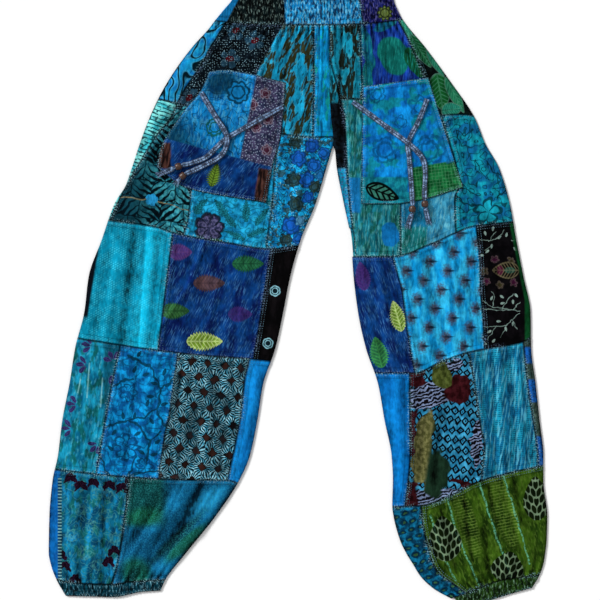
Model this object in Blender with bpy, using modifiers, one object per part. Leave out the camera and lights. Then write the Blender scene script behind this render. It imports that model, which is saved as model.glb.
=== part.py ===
"""Patchwork harem pants lying flat on their back, front up: X across, Y up the body, Z off the table."""

import math
from collections import namedtuple

import bmesh
import bpy
import numpy as np
from mathutils import Vector

MM = 0.001

# Cloth and make, in millimetres.
CLOTH = 1.2  # one layer of cloth with its backing
SEAM_GAP = 0.42  # between two pieces, across the seam
LAYER_GAP = 0.4  # between the back and the front at a folded edge
BACK_INSET = 0.5  # the back stays this far inside the front's outline
EDGE_RISE = 2.4  # how far the front stands off the back inside the folded edge
EDGE_ROLL = 15.0  # width of the rounded edge
EDGE_COLUMNS = (2.5, 7.0)  # extra grid lines beside a folded edge
EDGE_CLEARANCE = 1.3  # an even grid line stays this many times the last extra line's distance away
MOST_EDGE_SHARE = 0.4  # a patch narrower than this takes no extra lines
SETTLE_STEPS = 40  # rounds in which a patch's grid settles between its four bent edges
FOLDED_EDGES = ("left_outer", "right_outer", "left_inner", "right_inner")
BAND_FADE = 34.0  # the front flattens over this much cloth towards a gathered band
FOLD_END = 1.5  # a fold tapers at its ends over this many of its half widths
MOST_STRETCH = 1.45  # limit of the thicker vertical wall on a steep fold

WAIST_GATHER_RISE = 2.5
WAIST_GATHER_REACH = 76.0
WAIST_ROW_CROWDING = 1.35  # rows stand closer towards the waistband
HEM_GATHER_RISE = 2.3
HEM_GATHER_REACH = 60.0
HEM_ROW_CROWDING = 1.25
GATHER_PER_COLUMN = 0.55  # a gather is never higher than this share of its half width
GATHER_FADE = 1.4
GATHER_EVEN = 0.72  # mean share of the reach that a gather runs
GATHER_UNEVEN = 0.28  # how much longer or shorter the gathers run than the mean
GATHER_TURN = 2.3  # how fast their length changes from one to the next

WAIST_SHIRRING = 22.0  # between two rows of elastic
WAIST_PUFF = 1.6
CUFF_SHIRRING = 12.0
CUFF_PUFF = 1.4
PINCH_SHARE = 0.2  # height left on a row of elastic

POCKET_GAP = 0.5
POCKET_REACH = 5.0  # a pocket lies over the folds within this distance
POCKET_NEAR = 4.0  # a tie this close to a pocket's edge already lies as high as the pocket
TIE_WIDTH = 7.0
TIE_GAP = 0.4
TIE_STEP = 15.0
TIE_CURVE_STEPS = 12  # dense points between two points of a tie's route
TIE_LOOKS = 8  # directions in which a tie feels for the highest cloth beside it
TIE_CROSS_LIFT = 7.6
TIE_CROSS_FLAT = 7.0  # the upper tie keeps its full height this far from the crossing
TIE_CROSS_REACH = 24.0
BEAD_WIDTH = 11.0
BEAD_LENGTH = 9.6
BEAD_BORE = 4.6
BEAD_LIP = 0.6  # flat ring around the bore
BEAD_MOUTH = 0.94  # the bore starts at this share of the half length
BEAD_RINGS = 6
BEAD_FULLNESS = 0.7  # below 1 the flank is fuller than a round one
BEAD_STEPS = 12
TIE_IN_BEAD = 0.5  # share of the tie's width inside the bead
BEAD_PINCH = 6.0  # the tie narrows from here to the bead's middle
BEAD_SHOULDER = 9.5

# Edges that run up and down: (height, across), in millimetres.
SIDES = {
    "left_outer": (
        (490, -92), (462, -95), (448, -101), (432, -114), (415, -128), (403, -137), (374, -163),
        (336, -191), (299, -213), (262, -230), (225, -244), (188, -256), (160, -266), (132, -283),
        (76, -303), (20, -323), (-36, -330), (-91, -344), (-147, -353), (-203, -364), (-259, -371),
        (-296, -379), (-352, -384), (-408, -385), (-429, -381), (-450, -373), (-476, -358),
    ),
    "left_inner": (
        (409, 49), (355, 49), (272, 51), (228, 55), (212, 51), (188, 44), (132, 27), (76, 4),
        (20, -12), (-36, -23), (-91, -35), (-147, -54), (-203, -63), (-259, -75), (-296, -91),
        (-352, -128), (-408, -173), (-451, -206), (-467, -213),
    ),
    "right_inner": (
        (409, 49), (355, 49), (272, 51), (228, 55), (224, 55), (216, 58), (188, 61), (132, 72), (76, 83),
        (20, 87), (-36, 94), (-91, 106), (-147, 125), (-203, 135), (-259, 146), (-296, 148),
        (-336, 147), (-352, 149), (-389, 159), (-408, 168), (-426, 179), (-445, 191),
        (-463, 210), (-479, 238),
    ),
    "right_outer": (
        (490, 142), (448, 148), (432, 154), (417, 162), (374, 197), (318, 238), (281, 264),
        (262, 275), (225, 290), (188, 311), (132, 328), (76, 338), (20, 349), (-36, 360),
        (-91, 361), (-147, 368), (-203, 374), (-259, 380), (-296, 380), (-352, 386),
        (-389, 385), (-408, 383), (-426, 380), (-445, 373), (-463, 362),
    ),
    "band_dark_edge": ((490, -24), (414, -20)),
    "band_navy_edge": ((490, 90), (417, 100)),
    "scroll_edge": ((414, -110), (386, -127), (370, -137), (355, -144), (298, -181), (284, -187)),
    "dotted_edge": ((414, -20), (391, -34), (339, -61), (254, -92)),
    "left_camo_edge": ((409, 25), (355, 25), (236, 24)),
    "striped_edge": ((287, -185), (264, -197), (236, -219), (196, -244), (153, -269), (105, -292)),
    "leafy_edge": ((274, -130), (149, -165), (109, -169), (88, -175)),
    "fern_edge": ((246, -27), (192, -35), (135, -39), (76, -47), (60, -48)),
    "turquoise_edge": ((91, -193), (-7, -205), (-95, -216)),
    "left_navy_edge": ((65, -41), (-59, -60), (-112, -69)),
    "teal_edge": ((-87, -274), (-141, -286), (-281, -311)),
    "vine_edge": ((-98, -185), (-141, -191), (-184, -197), (-228, -206), (-291, -215)),
    "hatched_edge": ((-107, -74), (-141, -82), (-195, -88), (-299, -109)),
    "left_shin_edge": ((-290, -260), (-336, -265), (-380, -271), (-423, -278), (-457, -288)),
    "gusset_edge": ((409, 49), (362, 50), (308, 63), (260, 73), (191, 76), (138, 80), (76, 87), (51, 89)),
    "right_camo_edge": ((417, 95), (360, 98), (284, 101)),
    "right_leaf_edge": ((420, 154), (374, 177), (324, 197), (274, 214)),
    "wash_edge": ((293, 146), (132, 159), (51, 159)),
    "outline_edge": ((274, 221), (157, 249), (141, 243), (76, 245)),
    "right_navy_edge": ((53, 146), (-6, 162), (-74, 171), (-132, 182)),
    "spotted_edge": ((98, 276), (50, 281), (-6, 283), (-52, 287), (-95, 289)),
    "plain_edge": ((-129, 173), (-250, 174), (-296, 171), (-336, 166)),
    "net_edge": ((-95, 264), (-141, 273), (-217, 284), (-239, 289), (-299, 284)),
    "side_strip_edge": ((-79, 349), (-141, 355), (-250, 371), (-276, 373)),
    "right_shin_edge": ((-333, 191), (-358, 193), (-401, 202), (-434, 214), (-459, 245), (-476, 268)),
    "right_cuff_inner": ((-477, 242), (-496, 258)),
    "left_pocket_outer": ((336, -137), (305, -151), (277, -175), (215, -213), (188, -218)),
    "left_pocket_inner": ((319, -18), (236, -26), (192, -38), (133, -49)),
    "right_pocket_inner": ((313, 100), (132, 98)),
    "right_pocket_outer": ((327, 202), (267, 221), (158, 256)),
}

# Edges that run across: (across, height), in millimetres.
SEAMS = {
    "waist_top": ((-96, 488), (24, 491), (145, 488)),
    "waist_seam": ((-128, 415), (-58, 409), (49, 409), (112, 411), (162, 417)),
    "left_hip_seam": ((-216, 294), (-185, 287), (-105, 260), (-26, 240), (24, 235), (56, 235)),
    "left_thigh_seam": ((-297, 107), (-216, 95), (-193, 87), (-117, 73), (-41, 62), (1, 67)),
    "left_knee_seam": ((-342, -76), (-216, -95), (-144, -103), (-74, -108), (-38, -112)),
    "left_calf_seam": ((-378, -279), (-260, -291), (-182, -295), (-108, -296), (-89, -302)),
    "left_hem": ((-376, -449), (-345, -455), (-286, -457), (-258, -453), (-203, -450)),
    "left_end": ((-359, -475), (-323, -476), (-285, -477), (-241, -469), (-212, -467)),
    "gusset_top": ((49, 352), (73, 352)),
    "gusset_join": ((49, 188), (90, 188)),
    "gusset_end": ((73, 94), (89, 94)),
    "right_hip_seam": ((52, 294), (104, 293), (166, 277), (212, 268), (246, 270), (280, 268)),
    "right_thigh_seam": ((84, 50), (148, 50), (207, 70), (273, 97), (335, 104)),
    "right_knee_seam": (
        (118, -130), (180, -130), (223, -112), (264, -98), (289, -93), (348, -82), (362, -74),
    ),
    "right_calf_seam": ((146, -337), (191, -335), (231, -322), (280, -298), (329, -284), (382, -273)),
    "right_hem": ((238, -479), (280, -463), (314, -451), (345, -446), (374, -443)),
    "right_end": ((256, -496), (295, -483), (334, -471), (362, -463)),
    "left_pocket_top": ((-137, 336), (-115, 339), (-72, 332), (-18, 319)),
    "left_pocket_end": ((-218, 188), (-172, 156), (-49, 133)),
    "right_pocket_top": ((100, 313), (202, 327)),
    "right_pocket_end": ((98, 131), (150, 131), (190, 137), (256, 157)),
}

# Broad folds, in millimetres: a ridge, or a trough where the rise is negative, along a straight run.
Fold = namedtuple("Fold", "across height to_across to_height half_width rise")
FOLDS = (
    Fold(-175, 355, -229, 262, 10, 2.8),
    Fold(-176, 304, -192, 258, 9, -2.2),
    Fold(-192, 258, -219, 210, 9, -2.2),
    Fold(-229, 215, -262, 120, 9, 2.2),
    Fold(-70, 392, -62, 340, 9, 2.4),
    Fold(4, 215, -12, 76, 9, 2.0),
    Fold(-229, 88, -240, -87, 9, 3.2),
    Fold(-255, 84, -272, -87, 8, -1.6),
    Fold(-278, 60, -300, -71, 8, 1.8),
    Fold(-148, 68, -167, 6, 7, 1.6),
    Fold(-167, 6, -210, -54, 7, 1.6),
    Fold(-95, 40, -118, -80, 11, 1.4),
    Fold(-229, -126, -252, -265, 10, 2.2),
    Fold(-309, -141, -331, -265, 8, -1.4),
    Fold(-66, -126, -85, -234, 8, 1.7),
    Fold(-140, -120, -150, -270, 11, 1.5),
    Fold(-164, -298, -218, -366, 12, 4.6),
    Fold(-218, -366, -271, -424, 11, 4.2),
    Fold(-151, -304, -183, -370, 7, -2.0),
    Fold(-183, -370, -246, -446, 7, -2.2),
    Fold(-119, -318, -159, -370, 10, 3.6),
    Fold(-159, -370, -212, -437, 9, 3.4),
    Fold(-314, -310, -325, -436, 9, 2.6),
    Fold(-352, -320, -352, -420, 8, 2.0),
    Fold(66, 398, 68, 200, 8, -2.0),
    Fold(84, 401, 84, 300, 7, 2.8),
    Fold(150, 395, 168, 335, 8, 2.2),
    Fold(84, 231, 95, 60, 7, 2.0),
    Fold(259, 246, 305, 120, 10, 2.8),
    Fold(285, 60, 300, -80, 10, 1.6),
    Fold(120, 42, 143, -118, 8, 2.4),
    Fold(221, 53, 239, -108, 10, 2.3),
    Fold(200, 40, 212, -100, 8, -1.3),
    Fold(150, -140, 160, -320, 9, 1.7),
    Fold(207, -188, 196, -296, 8, 3.0),
    Fold(222, -195, 210, -300, 6, -1.6),
    Fold(309, -98, 314, -281, 6, 1.9),
    Fold(337, -95, 345, -272, 6, 1.6),
    Fold(231, -322, 244, -374, 6, 2.6),
    Fold(244, -374, 276, -448, 6, 2.6),
    Fold(280, -300, 304, -374, 6, 2.6),
    Fold(304, -374, 328, -440, 6, 2.6),
    Fold(318, -288, 344, -374, 6, 2.4),
    Fold(344, -374, 359, -425, 6, 2.2),
    Fold(205, -350, 227, -417, 6, 2.0),
    Fold(289, -380, 296, -445, 7, -2.4),
)

# Patches of the front, from the waist down. Columns and rows are the cells of each patch's grid.
# Gathers are pleated in every second column: from the waist, or from the hem.
Patch = namedtuple("Patch", "name left right top bottom columns rows gathers colour")
PATCHES = (
    Patch("left_hip_scroll", "left_outer", "scroll_edge", "waist_seam", "left_hip_seam", 4, 8, "waist",
          (0.10, 0.52, 0.62)),
    Patch("left_hip_dotted", "scroll_edge", "dotted_edge", "waist_seam", "left_hip_seam", 18, 8, "waist",
          (0.03, 0.05, 0.07)),
    Patch("left_hip_camo", "dotted_edge", "left_camo_edge", "waist_seam", "left_hip_seam", 12, 8, "waist",
          (0.04, 0.18, 0.20)),
    Patch("left_hip_centre", "left_camo_edge", "left_inner", "waist_seam", "left_hip_seam", 6, 8, "waist",
          (0.03, 0.36, 0.60)),
    Patch("left_thigh_striped", "left_outer", "striped_edge", "left_hip_seam", "left_thigh_seam", 3, 8,
          "none", (0.13, 0.55, 0.66)),
    Patch("left_thigh_leafy", "striped_edge", "leafy_edge", "left_hip_seam", "left_thigh_seam", 7, 8, "none",
          (0.05, 0.20, 0.25)),
    Patch("left_thigh_fern", "leafy_edge", "fern_edge", "left_hip_seam", "left_thigh_seam", 9, 8, "none",
          (0.06, 0.40, 0.50)),
    Patch("left_thigh_blooms", "fern_edge", "left_inner", "left_hip_seam", "left_thigh_seam", 6, 8, "none",
          (0.05, 0.30, 0.52)),
    Patch("left_knee_turquoise", "left_outer", "turquoise_edge", "left_thigh_seam", "left_knee_seam",
          10, 8, "none", (0.03, 0.50, 0.62)),
    Patch("left_knee_navy", "turquoise_edge", "left_navy_edge", "left_thigh_seam", "left_knee_seam",
          11, 8, "none", (0.02, 0.07, 0.26)),
    Patch("left_knee_black", "left_navy_edge", "left_inner", "left_thigh_seam", "left_knee_seam",
          4, 8, "none", (0.01, 0.02, 0.03)),
    Patch("left_calf_teal", "left_outer", "teal_edge", "left_knee_seam", "left_calf_seam", 6, 8, "none",
          (0.03, 0.34, 0.40)),
    Patch("left_calf_vine", "teal_edge", "vine_edge", "left_knee_seam", "left_calf_seam", 9, 8, "none",
          (0.02, 0.36, 0.58)),
    Patch("left_calf_hatched", "vine_edge", "hatched_edge", "left_knee_seam", "left_calf_seam", 8, 8, "none",
          (0.05, 0.14, 0.18)),
    Patch("left_calf_blue", "hatched_edge", "left_inner", "left_knee_seam", "left_calf_seam", 4, 8, "none",
          (0.02, 0.34, 0.66)),
    Patch("left_shin_tulip", "left_outer", "left_shin_edge", "left_calf_seam", "left_hem", 10, 9, "hem",
          (0.02, 0.30, 0.42)),
    Patch("left_shin_green", "left_shin_edge", "left_inner", "left_calf_seam", "left_hem", 14, 8, "hem",
          (0.02, 0.22, 0.28)),
    Patch("right_hip_camo", "gusset_edge", "right_camo_edge", "waist_seam", "right_hip_seam", 10, 8, "waist",
          (0.03, 0.28, 0.40)),
    Patch("right_hip_navy", "right_camo_edge", "right_leaf_edge", "waist_seam", "right_hip_seam", 14, 8,
          "waist", (0.02, 0.08, 0.24)),
    Patch("right_hip_leaves", "right_leaf_edge", "right_outer", "waist_seam", "right_hip_seam", 6, 8, "waist",
          (0.03, 0.22, 0.20)),
    Patch("right_gusset_black", "right_inner", "gusset_edge", "gusset_top", "gusset_join", 2, 10, "none",
          (0.01, 0.02, 0.03)),
    Patch("right_gusset_blue", "right_inner", "gusset_edge", "gusset_join", "gusset_end", 2, 6, "none",
          (0.03, 0.34, 0.50)),
    Patch("right_thigh_wash", "gusset_edge", "wash_edge", "right_hip_seam", "right_thigh_seam", 6, 11, "none",
          (0.05, 0.36, 0.42)),
    Patch("right_thigh_green", "wash_edge", "outline_edge", "right_hip_seam", "right_thigh_seam", 7, 8,
          "none", (0.04, 0.32, 0.36)),
    Patch("right_thigh_outline", "outline_edge", "right_outer", "right_hip_seam", "right_thigh_seam", 8, 8,
          "none", (0.03, 0.30, 0.38)),
    Patch("right_knee_navy", "right_inner", "right_navy_edge", "right_thigh_seam", "right_knee_seam", 7, 8,
          "none", (0.02, 0.08, 0.28)),
    Patch("right_knee_spotted", "right_navy_edge", "spotted_edge", "right_thigh_seam", "right_knee_seam",
          9, 9, "none", (0.05, 0.50, 0.75)),
    Patch("right_knee_black", "spotted_edge", "right_outer", "right_thigh_seam", "right_knee_seam", 6, 8,
          "none", (0.01, 0.03, 0.03)),
    Patch("right_calf_plain", "right_inner", "plain_edge", "right_knee_seam", "right_calf_seam", 5, 10,
          "none", (0.01, 0.28, 0.60)),
    Patch("right_calf_net", "plain_edge", "net_edge", "right_knee_seam", "right_calf_seam", 10, 8, "none",
          (0.12, 0.14, 0.14)),
    Patch("right_calf_grid", "net_edge", "side_strip_edge", "right_knee_seam", "right_calf_seam", 9, 8,
          "none", (0.03, 0.34, 0.48)),
    Patch("right_calf_side", "side_strip_edge", "right_outer", "right_knee_seam", "right_calf_seam", 2, 8,
          "none", (0.04, 0.18, 0.30)),
    Patch("right_shin_spots", "right_inner", "right_shin_edge", "right_calf_seam", "right_hem", 6, 11, "hem",
          (0.02, 0.28, 0.45)),
    Patch("right_shin_olive", "right_shin_edge", "right_outer", "right_calf_seam", "right_hem", 24, 9, "hem",
          (0.12, 0.20, 0.03)),
)

# The back lies flat on the table, in four rows a leg between the seams that show at the sides.
PANELS = (
    Patch("left_back_hip", "left_outer", "left_inner", "waist_seam", "left_thigh_seam", 16, 16, "none",
          (0.05, 0.34, 0.44)),
    Patch("left_back_knee", "left_outer", "left_inner", "left_thigh_seam", "left_knee_seam", 16, 10, "none",
          (0.02, 0.05, 0.10)),
    Patch("left_back_calf", "left_outer", "left_inner", "left_knee_seam", "left_calf_seam", 16, 10, "none",
          (0.03, 0.34, 0.46)),
    Patch("left_back_shin", "left_outer", "left_inner", "left_calf_seam", "left_hem", 16, 10, "none",
          (0.02, 0.34, 0.60)),
    Patch("right_back_hip", "right_inner", "right_outer", "waist_seam", "right_thigh_seam", 16, 16, "none",
          (0.03, 0.30, 0.40)),
    Patch("right_back_knee", "right_inner", "right_outer", "right_thigh_seam", "right_knee_seam", 16, 10,
          "none", (0.03, 0.24, 0.12)),
    Patch("right_back_calf", "right_inner", "right_outer", "right_knee_seam", "right_calf_seam", 16, 10,
          "none", (0.04, 0.24, 0.40)),
    Patch("right_back_shin", "right_inner", "right_outer", "right_calf_seam", "right_hem", 16, 10, "none",
          (0.10, 0.20, 0.04)),
    Patch("left_cuff_back", "left_outer", "left_inner", "left_hem", "left_end", 16, 2, "none",
          (0.02, 0.14, 0.20)),
    Patch("right_cuff_back", "right_cuff_inner", "right_outer", "right_hem", "right_end", 16, 2, "none",
          (0.06, 0.12, 0.04)),
    Patch("waistband_back", "left_outer", "right_outer", "waist_top", "waist_seam", 24, 4, "none",
          (0.03, 0.16, 0.26)),
)

# Elastic bands, plain inside and puffed outside.
BANDS = (
    Patch("waistband_dark", "left_outer", "band_dark_edge", "waist_top", "waist_seam", 26, 7, "waist",
          (0.02, 0.04, 0.05)),
    Patch("waistband_light", "band_dark_edge", "band_navy_edge", "waist_top", "waist_seam", 34, 7, "waist",
          (0.05, 0.45, 0.65)),
    Patch("waistband_navy", "band_navy_edge", "right_outer", "waist_top", "waist_seam", 18, 7, "waist",
          (0.03, 0.04, 0.16)),
    Patch("left_cuff_front", "left_outer", "left_inner", "left_hem", "left_end", 32, 3, "hem",
          (0.02, 0.14, 0.20)),
    Patch("right_cuff_front", "right_cuff_inner", "right_outer", "right_hem", "right_end", 32, 3, "hem",
          (0.06, 0.12, 0.04)),
)

POCKETS = (
    Patch("left_pocket", "left_pocket_outer", "left_pocket_inner", "left_pocket_top", "left_pocket_end",
          11, 11, "none", (0.03, 0.26, 0.46)),
    Patch("right_pocket", "right_pocket_inner", "right_pocket_outer", "right_pocket_top",
          "right_pocket_end", 10, 10, "none", (0.03, 0.34, 0.50)),
)

# Ties from the pocket's side seam to the free end, in millimetres, with the bead's place on each.
Tie = namedtuple("Tie", "name bead_name route bead_at crosses_at")
TIES = (
    Tie("left_tie_outer", "left_bead_outer",
        ((-149, 303), (-128, 268), (-110, 238), (-111, 218), (-122, 203), (-144, 191), (-163, 182),
         (-178, 175), (-186, 164)),
        (-178, 175), (-110, 232)),
    Tie("left_tie_inner", "left_bead_inner",
        ((-23, 281), (-69, 256), (-110, 232), (-126, 218), (-142, 203), (-165, 194), (-184, 189),
         (-213, 177)),
        (-184, 189), None),
    Tie("right_tie_inner", "right_bead_inner",
        ((85, 289), (128, 257), (171, 224), (192, 203), (197, 181), (196, 155), (196, 131), (202, 105)),
        (196, 131), (171, 225)),
    Tie("right_tie_outer", "right_bead_outer",
        ((200, 293), (187, 260), (171, 227), (172, 204), (174, 181), (176, 153), (177, 123), (171, 99)),
        (177, 123), None),
)
TIE_COLOUR = (0.22, 0.26, 0.38)
BEAD_COLOUR = (0.16, 0.09, 0.06)

GAP_HALF = SEAM_GAP * MM / 2
FRONT_BASE = (CLOTH + LAYER_GAP) * MM


def curve_through(rows):
    """A smooth curve through the rows that never swings past them, straight beyond its ends."""
    table = np.array(sorted(rows), dtype=float) * MM
    along, across = table[:, 0], table[:, 1]
    step = np.diff(along)
    slope = np.diff(across) / step
    tangent = np.zeros(len(along))
    tangent[0] = slope[0]
    tangent[-1] = slope[-1]
    for i in range(1, len(slope)):
        before, after = slope[i - 1], slope[i]
        if before * after > 0:
            tangent[i] = 2 * before * after / (before + after)

    def value(at):
        at = np.asarray(at, dtype=float)
        i = np.clip(np.searchsorted(along, at) - 1, 0, len(step) - 1)
        t = (at - along[i]) / step[i]
        s = np.clip(t, 0, 1)
        start = (1 + 2 * s) * (1 - s) ** 2 * across[i] + s * (1 - s) ** 2 * step[i] * tangent[i]
        end = s * s * (3 - 2 * s) * across[i + 1] + s * s * (s - 1) * step[i] * tangent[i + 1]
        beyond = (t - s) * step[i] * np.where(t < 0, tangent[i], tangent[i + 1])
        return start + end + beyond

    return value


side = {name: curve_through(rows) for name, rows in SIDES.items()}
seam = {name: curve_through(rows) for name, rows in SEAMS.items()}
crotch_height, crotch_across = SIDES["left_inner"][3]


def smooth(share):
    share = np.clip(share, 0, 1)
    return share * share * (3 - 2 * share)


def edge_distance(x, y):
    """How far a point of the front lies inside the folded edges of the legs."""
    to_left = x - side["left_outer"](y)
    to_right = side["right_outer"](y) - x
    to_crotch = np.hypot(x - crotch_across * MM, y - crotch_height * MM)
    on_left = x < crotch_across * MM
    to_inner = np.where(on_left, side["left_inner"](y) - x, x - side["right_inner"](y))
    inside = np.where(y > crotch_height * MM, to_crotch, to_inner)
    return np.minimum(np.minimum(to_left, to_right), inside)


def fold_rise(x, y):
    """The broad folds, soft across and tapered at their ends."""
    rise = np.zeros_like(x)
    for fold in FOLDS:
        run_x = (fold.to_across - fold.across) * MM
        run_y = (fold.to_height - fold.height) * MM
        length = math.hypot(run_x, run_y)
        from_x = x - fold.across * MM
        from_y = y - fold.height * MM
        along = (from_x * run_x + from_y * run_y) / length
        across = (from_x * run_y - from_y * run_x) / length
        width = fold.half_width * MM
        past_end = np.maximum(np.maximum(-along, along - length), 0)
        spread = (across / width) ** 2 + (past_end / (FOLD_END * width)) ** 2
        rise = rise + fold.rise * MM * np.exp(-spread)
    return rise


def lie(x, y):
    """Height of the front's inside over the table."""
    inside = np.clip(edge_distance(x, y) / (EDGE_ROLL * MM), 0, 1)
    roll = np.sqrt(1 - (1 - inside) ** 2)
    below_waist = (seam["waist_seam"](x) - y) / (BAND_FADE * MM)
    hem = np.where(x < crotch_across * MM, seam["left_hem"](x), seam["right_hem"](x))
    above_hem = (y - hem) / (BAND_FADE * MM)
    free = smooth(below_waist) * smooth(above_hem) * roll
    return FRONT_BASE + np.maximum((EDGE_RISE * MM + fold_rise(x, y)) * free, 0)


def stretch(x, y):
    """Thickness factor that keeps the wall's true thickness on a slope."""
    step = MM
    slope_x = (lie(x + step, y) - lie(x - step, y)) / (2 * step)
    slope_y = (lie(x, y + step) - lie(x, y - step)) / (2 * step)
    return np.minimum(np.sqrt(1 + slope_x**2 + slope_y**2), MOST_STRETCH)


def grid_lines(patch):
    """Shares across the patch, with extra lines beside a folded edge."""
    middle = (seam[patch.top](0.0) + seam[patch.bottom](0.0)) / 2
    width = float(side[patch.right](middle) - side[patch.left](middle))
    lines = list(np.linspace(0, 1, patch.columns + 1))
    extra = [distance * MM / width for distance in EDGE_COLUMNS]
    if patch.gathers != "none" or extra[-1] > MOST_EDGE_SHARE:
        return np.array(lines)
    nearest = extra[-1] * EDGE_CLEARANCE
    if patch.left in FOLDED_EDGES:
        lines = [line for line in lines if line == 0 or line > nearest] + extra
    if patch.right in FOLDED_EDGES:
        lines = [line for line in lines if line == 1 or line < 1 - nearest]
        lines = lines + [1 - share for share in extra]
    return np.array(sorted(lines))


def patch_points(patch, across, down, inset=0.0):
    """Points at shares across and down a patch bounded by two sides and two seams."""
    left, right = side[patch.left], side[patch.right]
    top, bottom = seam[patch.top], seam[patch.bottom]
    x = np.full(across.shape, float(np.mean([left(top(0.0)), right(bottom(0.0))])))
    y = (top(x) + bottom(x)) / 2
    for _ in range(SETTLE_STEPS):
        x_left = left(y) + GAP_HALF + inset
        x_right = right(y) - GAP_HALF - inset
        x = 0.5 * x + 0.5 * (x_left + (x_right - x_left) * across)
        y_top = top(x) - GAP_HALF
        y_bottom = bottom(x) + GAP_HALF
        y = 0.5 * y + 0.5 * (y_top + (y_bottom - y_top) * down)
    return x, y


def sheet_mesh(name, points_across, points_down, x, y, inside, outside):
    """A closed wall between an inner and an outer height over the same grid."""
    bm = bmesh.new()
    columns, rows = points_across - 1, points_down - 1
    bmesh.ops.create_grid(bm, x_segments=columns, y_segments=rows, size=1)
    raised = bmesh.ops.extrude_face_region(bm, geom=list(bm.faces), use_keep_orig=True)
    upper = {item for item in raised["geom"] if isinstance(item, bmesh.types.BMVert)}
    for vert in bm.verts:
        i = round((vert.co.x + 1) / 2 * columns)
        j = round((1 - vert.co.y) / 2 * rows)
        height = outside if vert in upper else inside
        vert.co = (x[j, i], y[j, i], height[j, i])
    bmesh.ops.recalc_face_normals(bm, faces=list(bm.faces))
    mesh = bpy.data.meshes.new(name)
    bm.to_mesh(mesh)
    bm.free()
    return mesh


def finish_object(name, data, colour, roughness, collection):
    """One named object with its own material."""
    material = bpy.data.materials.new(name + "_cloth" if roughness > 0.6 else name + "_wood")
    material.use_nodes = True
    shader = material.node_tree.nodes["Principled BSDF"]
    shader.inputs["Base Color"].default_value = (*colour, 1)
    shader.inputs["Roughness"].default_value = roughness
    data.materials.append(material)
    made = bpy.data.objects.new(name, data)
    collection.objects.link(made)
    return made


def column_gathers(patch, lines, x, y):
    """Pleats in every second column of a patch, fading away from its elastic band."""
    if patch.gathers == "none":
        return np.zeros_like(x)
    if patch.gathers == "waist":
        from_band = seam["waist_seam"](x) - y
        rise, reach = WAIST_GATHER_RISE * MM, WAIST_GATHER_REACH * MM
    else:
        hem = seam[patch.bottom](x)
        from_band = y - hem
        rise, reach = HEM_GATHER_RISE * MM, HEM_GATHER_REACH * MM
    index = np.arange(len(lines))
    uneven = GATHER_EVEN + GATHER_UNEVEN * np.sin(index * GATHER_TURN + len(patch.name))
    fade = (1 - np.clip(from_band / (reach * uneven[None, :]), 0, 1)) ** GATHER_FADE
    spacing = (x[:, -1] - x[:, 0]) / (len(lines) - 1)
    limit = np.minimum(rise, GATHER_PER_COLUMN * spacing)[:, None]
    return limit * fade * (index % 2)[None, :]


def make_patch(patch, collection):
    lines = grid_lines(patch)
    falls = np.linspace(0, 1, patch.rows + 1)
    if patch.gathers == "waist":
        falls = falls**WAIST_ROW_CROWDING
    if patch.gathers == "hem":
        falls = 1 - (1 - falls) ** HEM_ROW_CROWDING
    across, down = np.meshgrid(lines, falls)
    x, y = patch_points(patch, across, down)
    inside = lie(x, y) + column_gathers(patch, lines, x, y)
    outside = inside + CLOTH * MM * stretch(x, y)
    mesh = sheet_mesh(patch.name, len(lines), len(falls), x, y, inside, outside)
    return finish_object(patch.name, mesh, patch.colour, 0.85, collection)


def make_panel(patch, collection):
    across, down = np.meshgrid(np.linspace(0, 1, patch.columns + 1), np.linspace(0, 1, patch.rows + 1))
    x, y = patch_points(patch, across, down, BACK_INSET * MM)
    inside = np.zeros_like(x)
    mesh = sheet_mesh(patch.name, across.shape[1], across.shape[0], x, y, inside, inside + CLOTH * MM)
    return finish_object(patch.name, mesh, patch.colour, 0.85, collection)


def make_band(patch, collection):
    """An elastic band: plain inside, puffed between its rows of elastic."""
    across, down = np.meshgrid(np.linspace(0, 1, patch.columns + 1), np.linspace(0, 1, patch.rows + 1))
    x, y = patch_points(patch, across, down)
    inside = np.full_like(x, FRONT_BASE)
    shirring, puff = (WAIST_SHIRRING, WAIST_PUFF) if patch.gathers == "waist" else (CUFF_SHIRRING, CUFF_PUFF)
    row = (seam[patch.top](x) - y) / (shirring * MM)
    swell = PINCH_SHARE + (1 - PINCH_SHARE) * np.abs(np.sin(math.pi * row))
    odd = (np.arange(patch.columns + 1) % 2)[None, :]
    outside = inside + (CLOTH + puff * swell * odd) * MM
    mesh = sheet_mesh(patch.name, across.shape[1], across.shape[0], x, y, inside, outside)
    return finish_object(patch.name, mesh, patch.colour, 0.85, collection)


def pocket_inside(x, y):
    """Inner height of a pocket: the front's outer points, moved out over the folds beside each."""
    around = ((0, 0), (POCKET_REACH, 0), (-POCKET_REACH, 0), (0, POCKET_REACH), (0, -POCKET_REACH))
    heights = [lie(x + across * MM, y + up * MM) for across, up in around]
    return np.max(heights, axis=0) + (CLOTH * stretch(x, y) + POCKET_GAP) * MM


def make_pocket(patch, collection):
    across, down = np.meshgrid(np.linspace(0, 1, patch.columns + 1), np.linspace(0, 1, patch.rows + 1))
    x, y = patch_points(patch, across, down)
    inside = pocket_inside(x, y)
    outside = inside + CLOTH * MM * stretch(x, y)
    mesh = sheet_mesh(patch.name, across.shape[1], across.shape[0], x, y, inside, outside)
    return finish_object(patch.name, mesh, patch.colour, 0.85, collection)


def on_pocket(x, y):
    """Whether a point lies over one of the pockets."""
    found = False
    near = POCKET_NEAR * MM
    for patch in POCKETS:
        in_width = side[patch.left](y) - near < x < side[patch.right](y) + near
        in_height = seam[patch.bottom](x) - near < y < seam[patch.top](x) + near
        found = found or (in_width and in_height)
    return found


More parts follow.
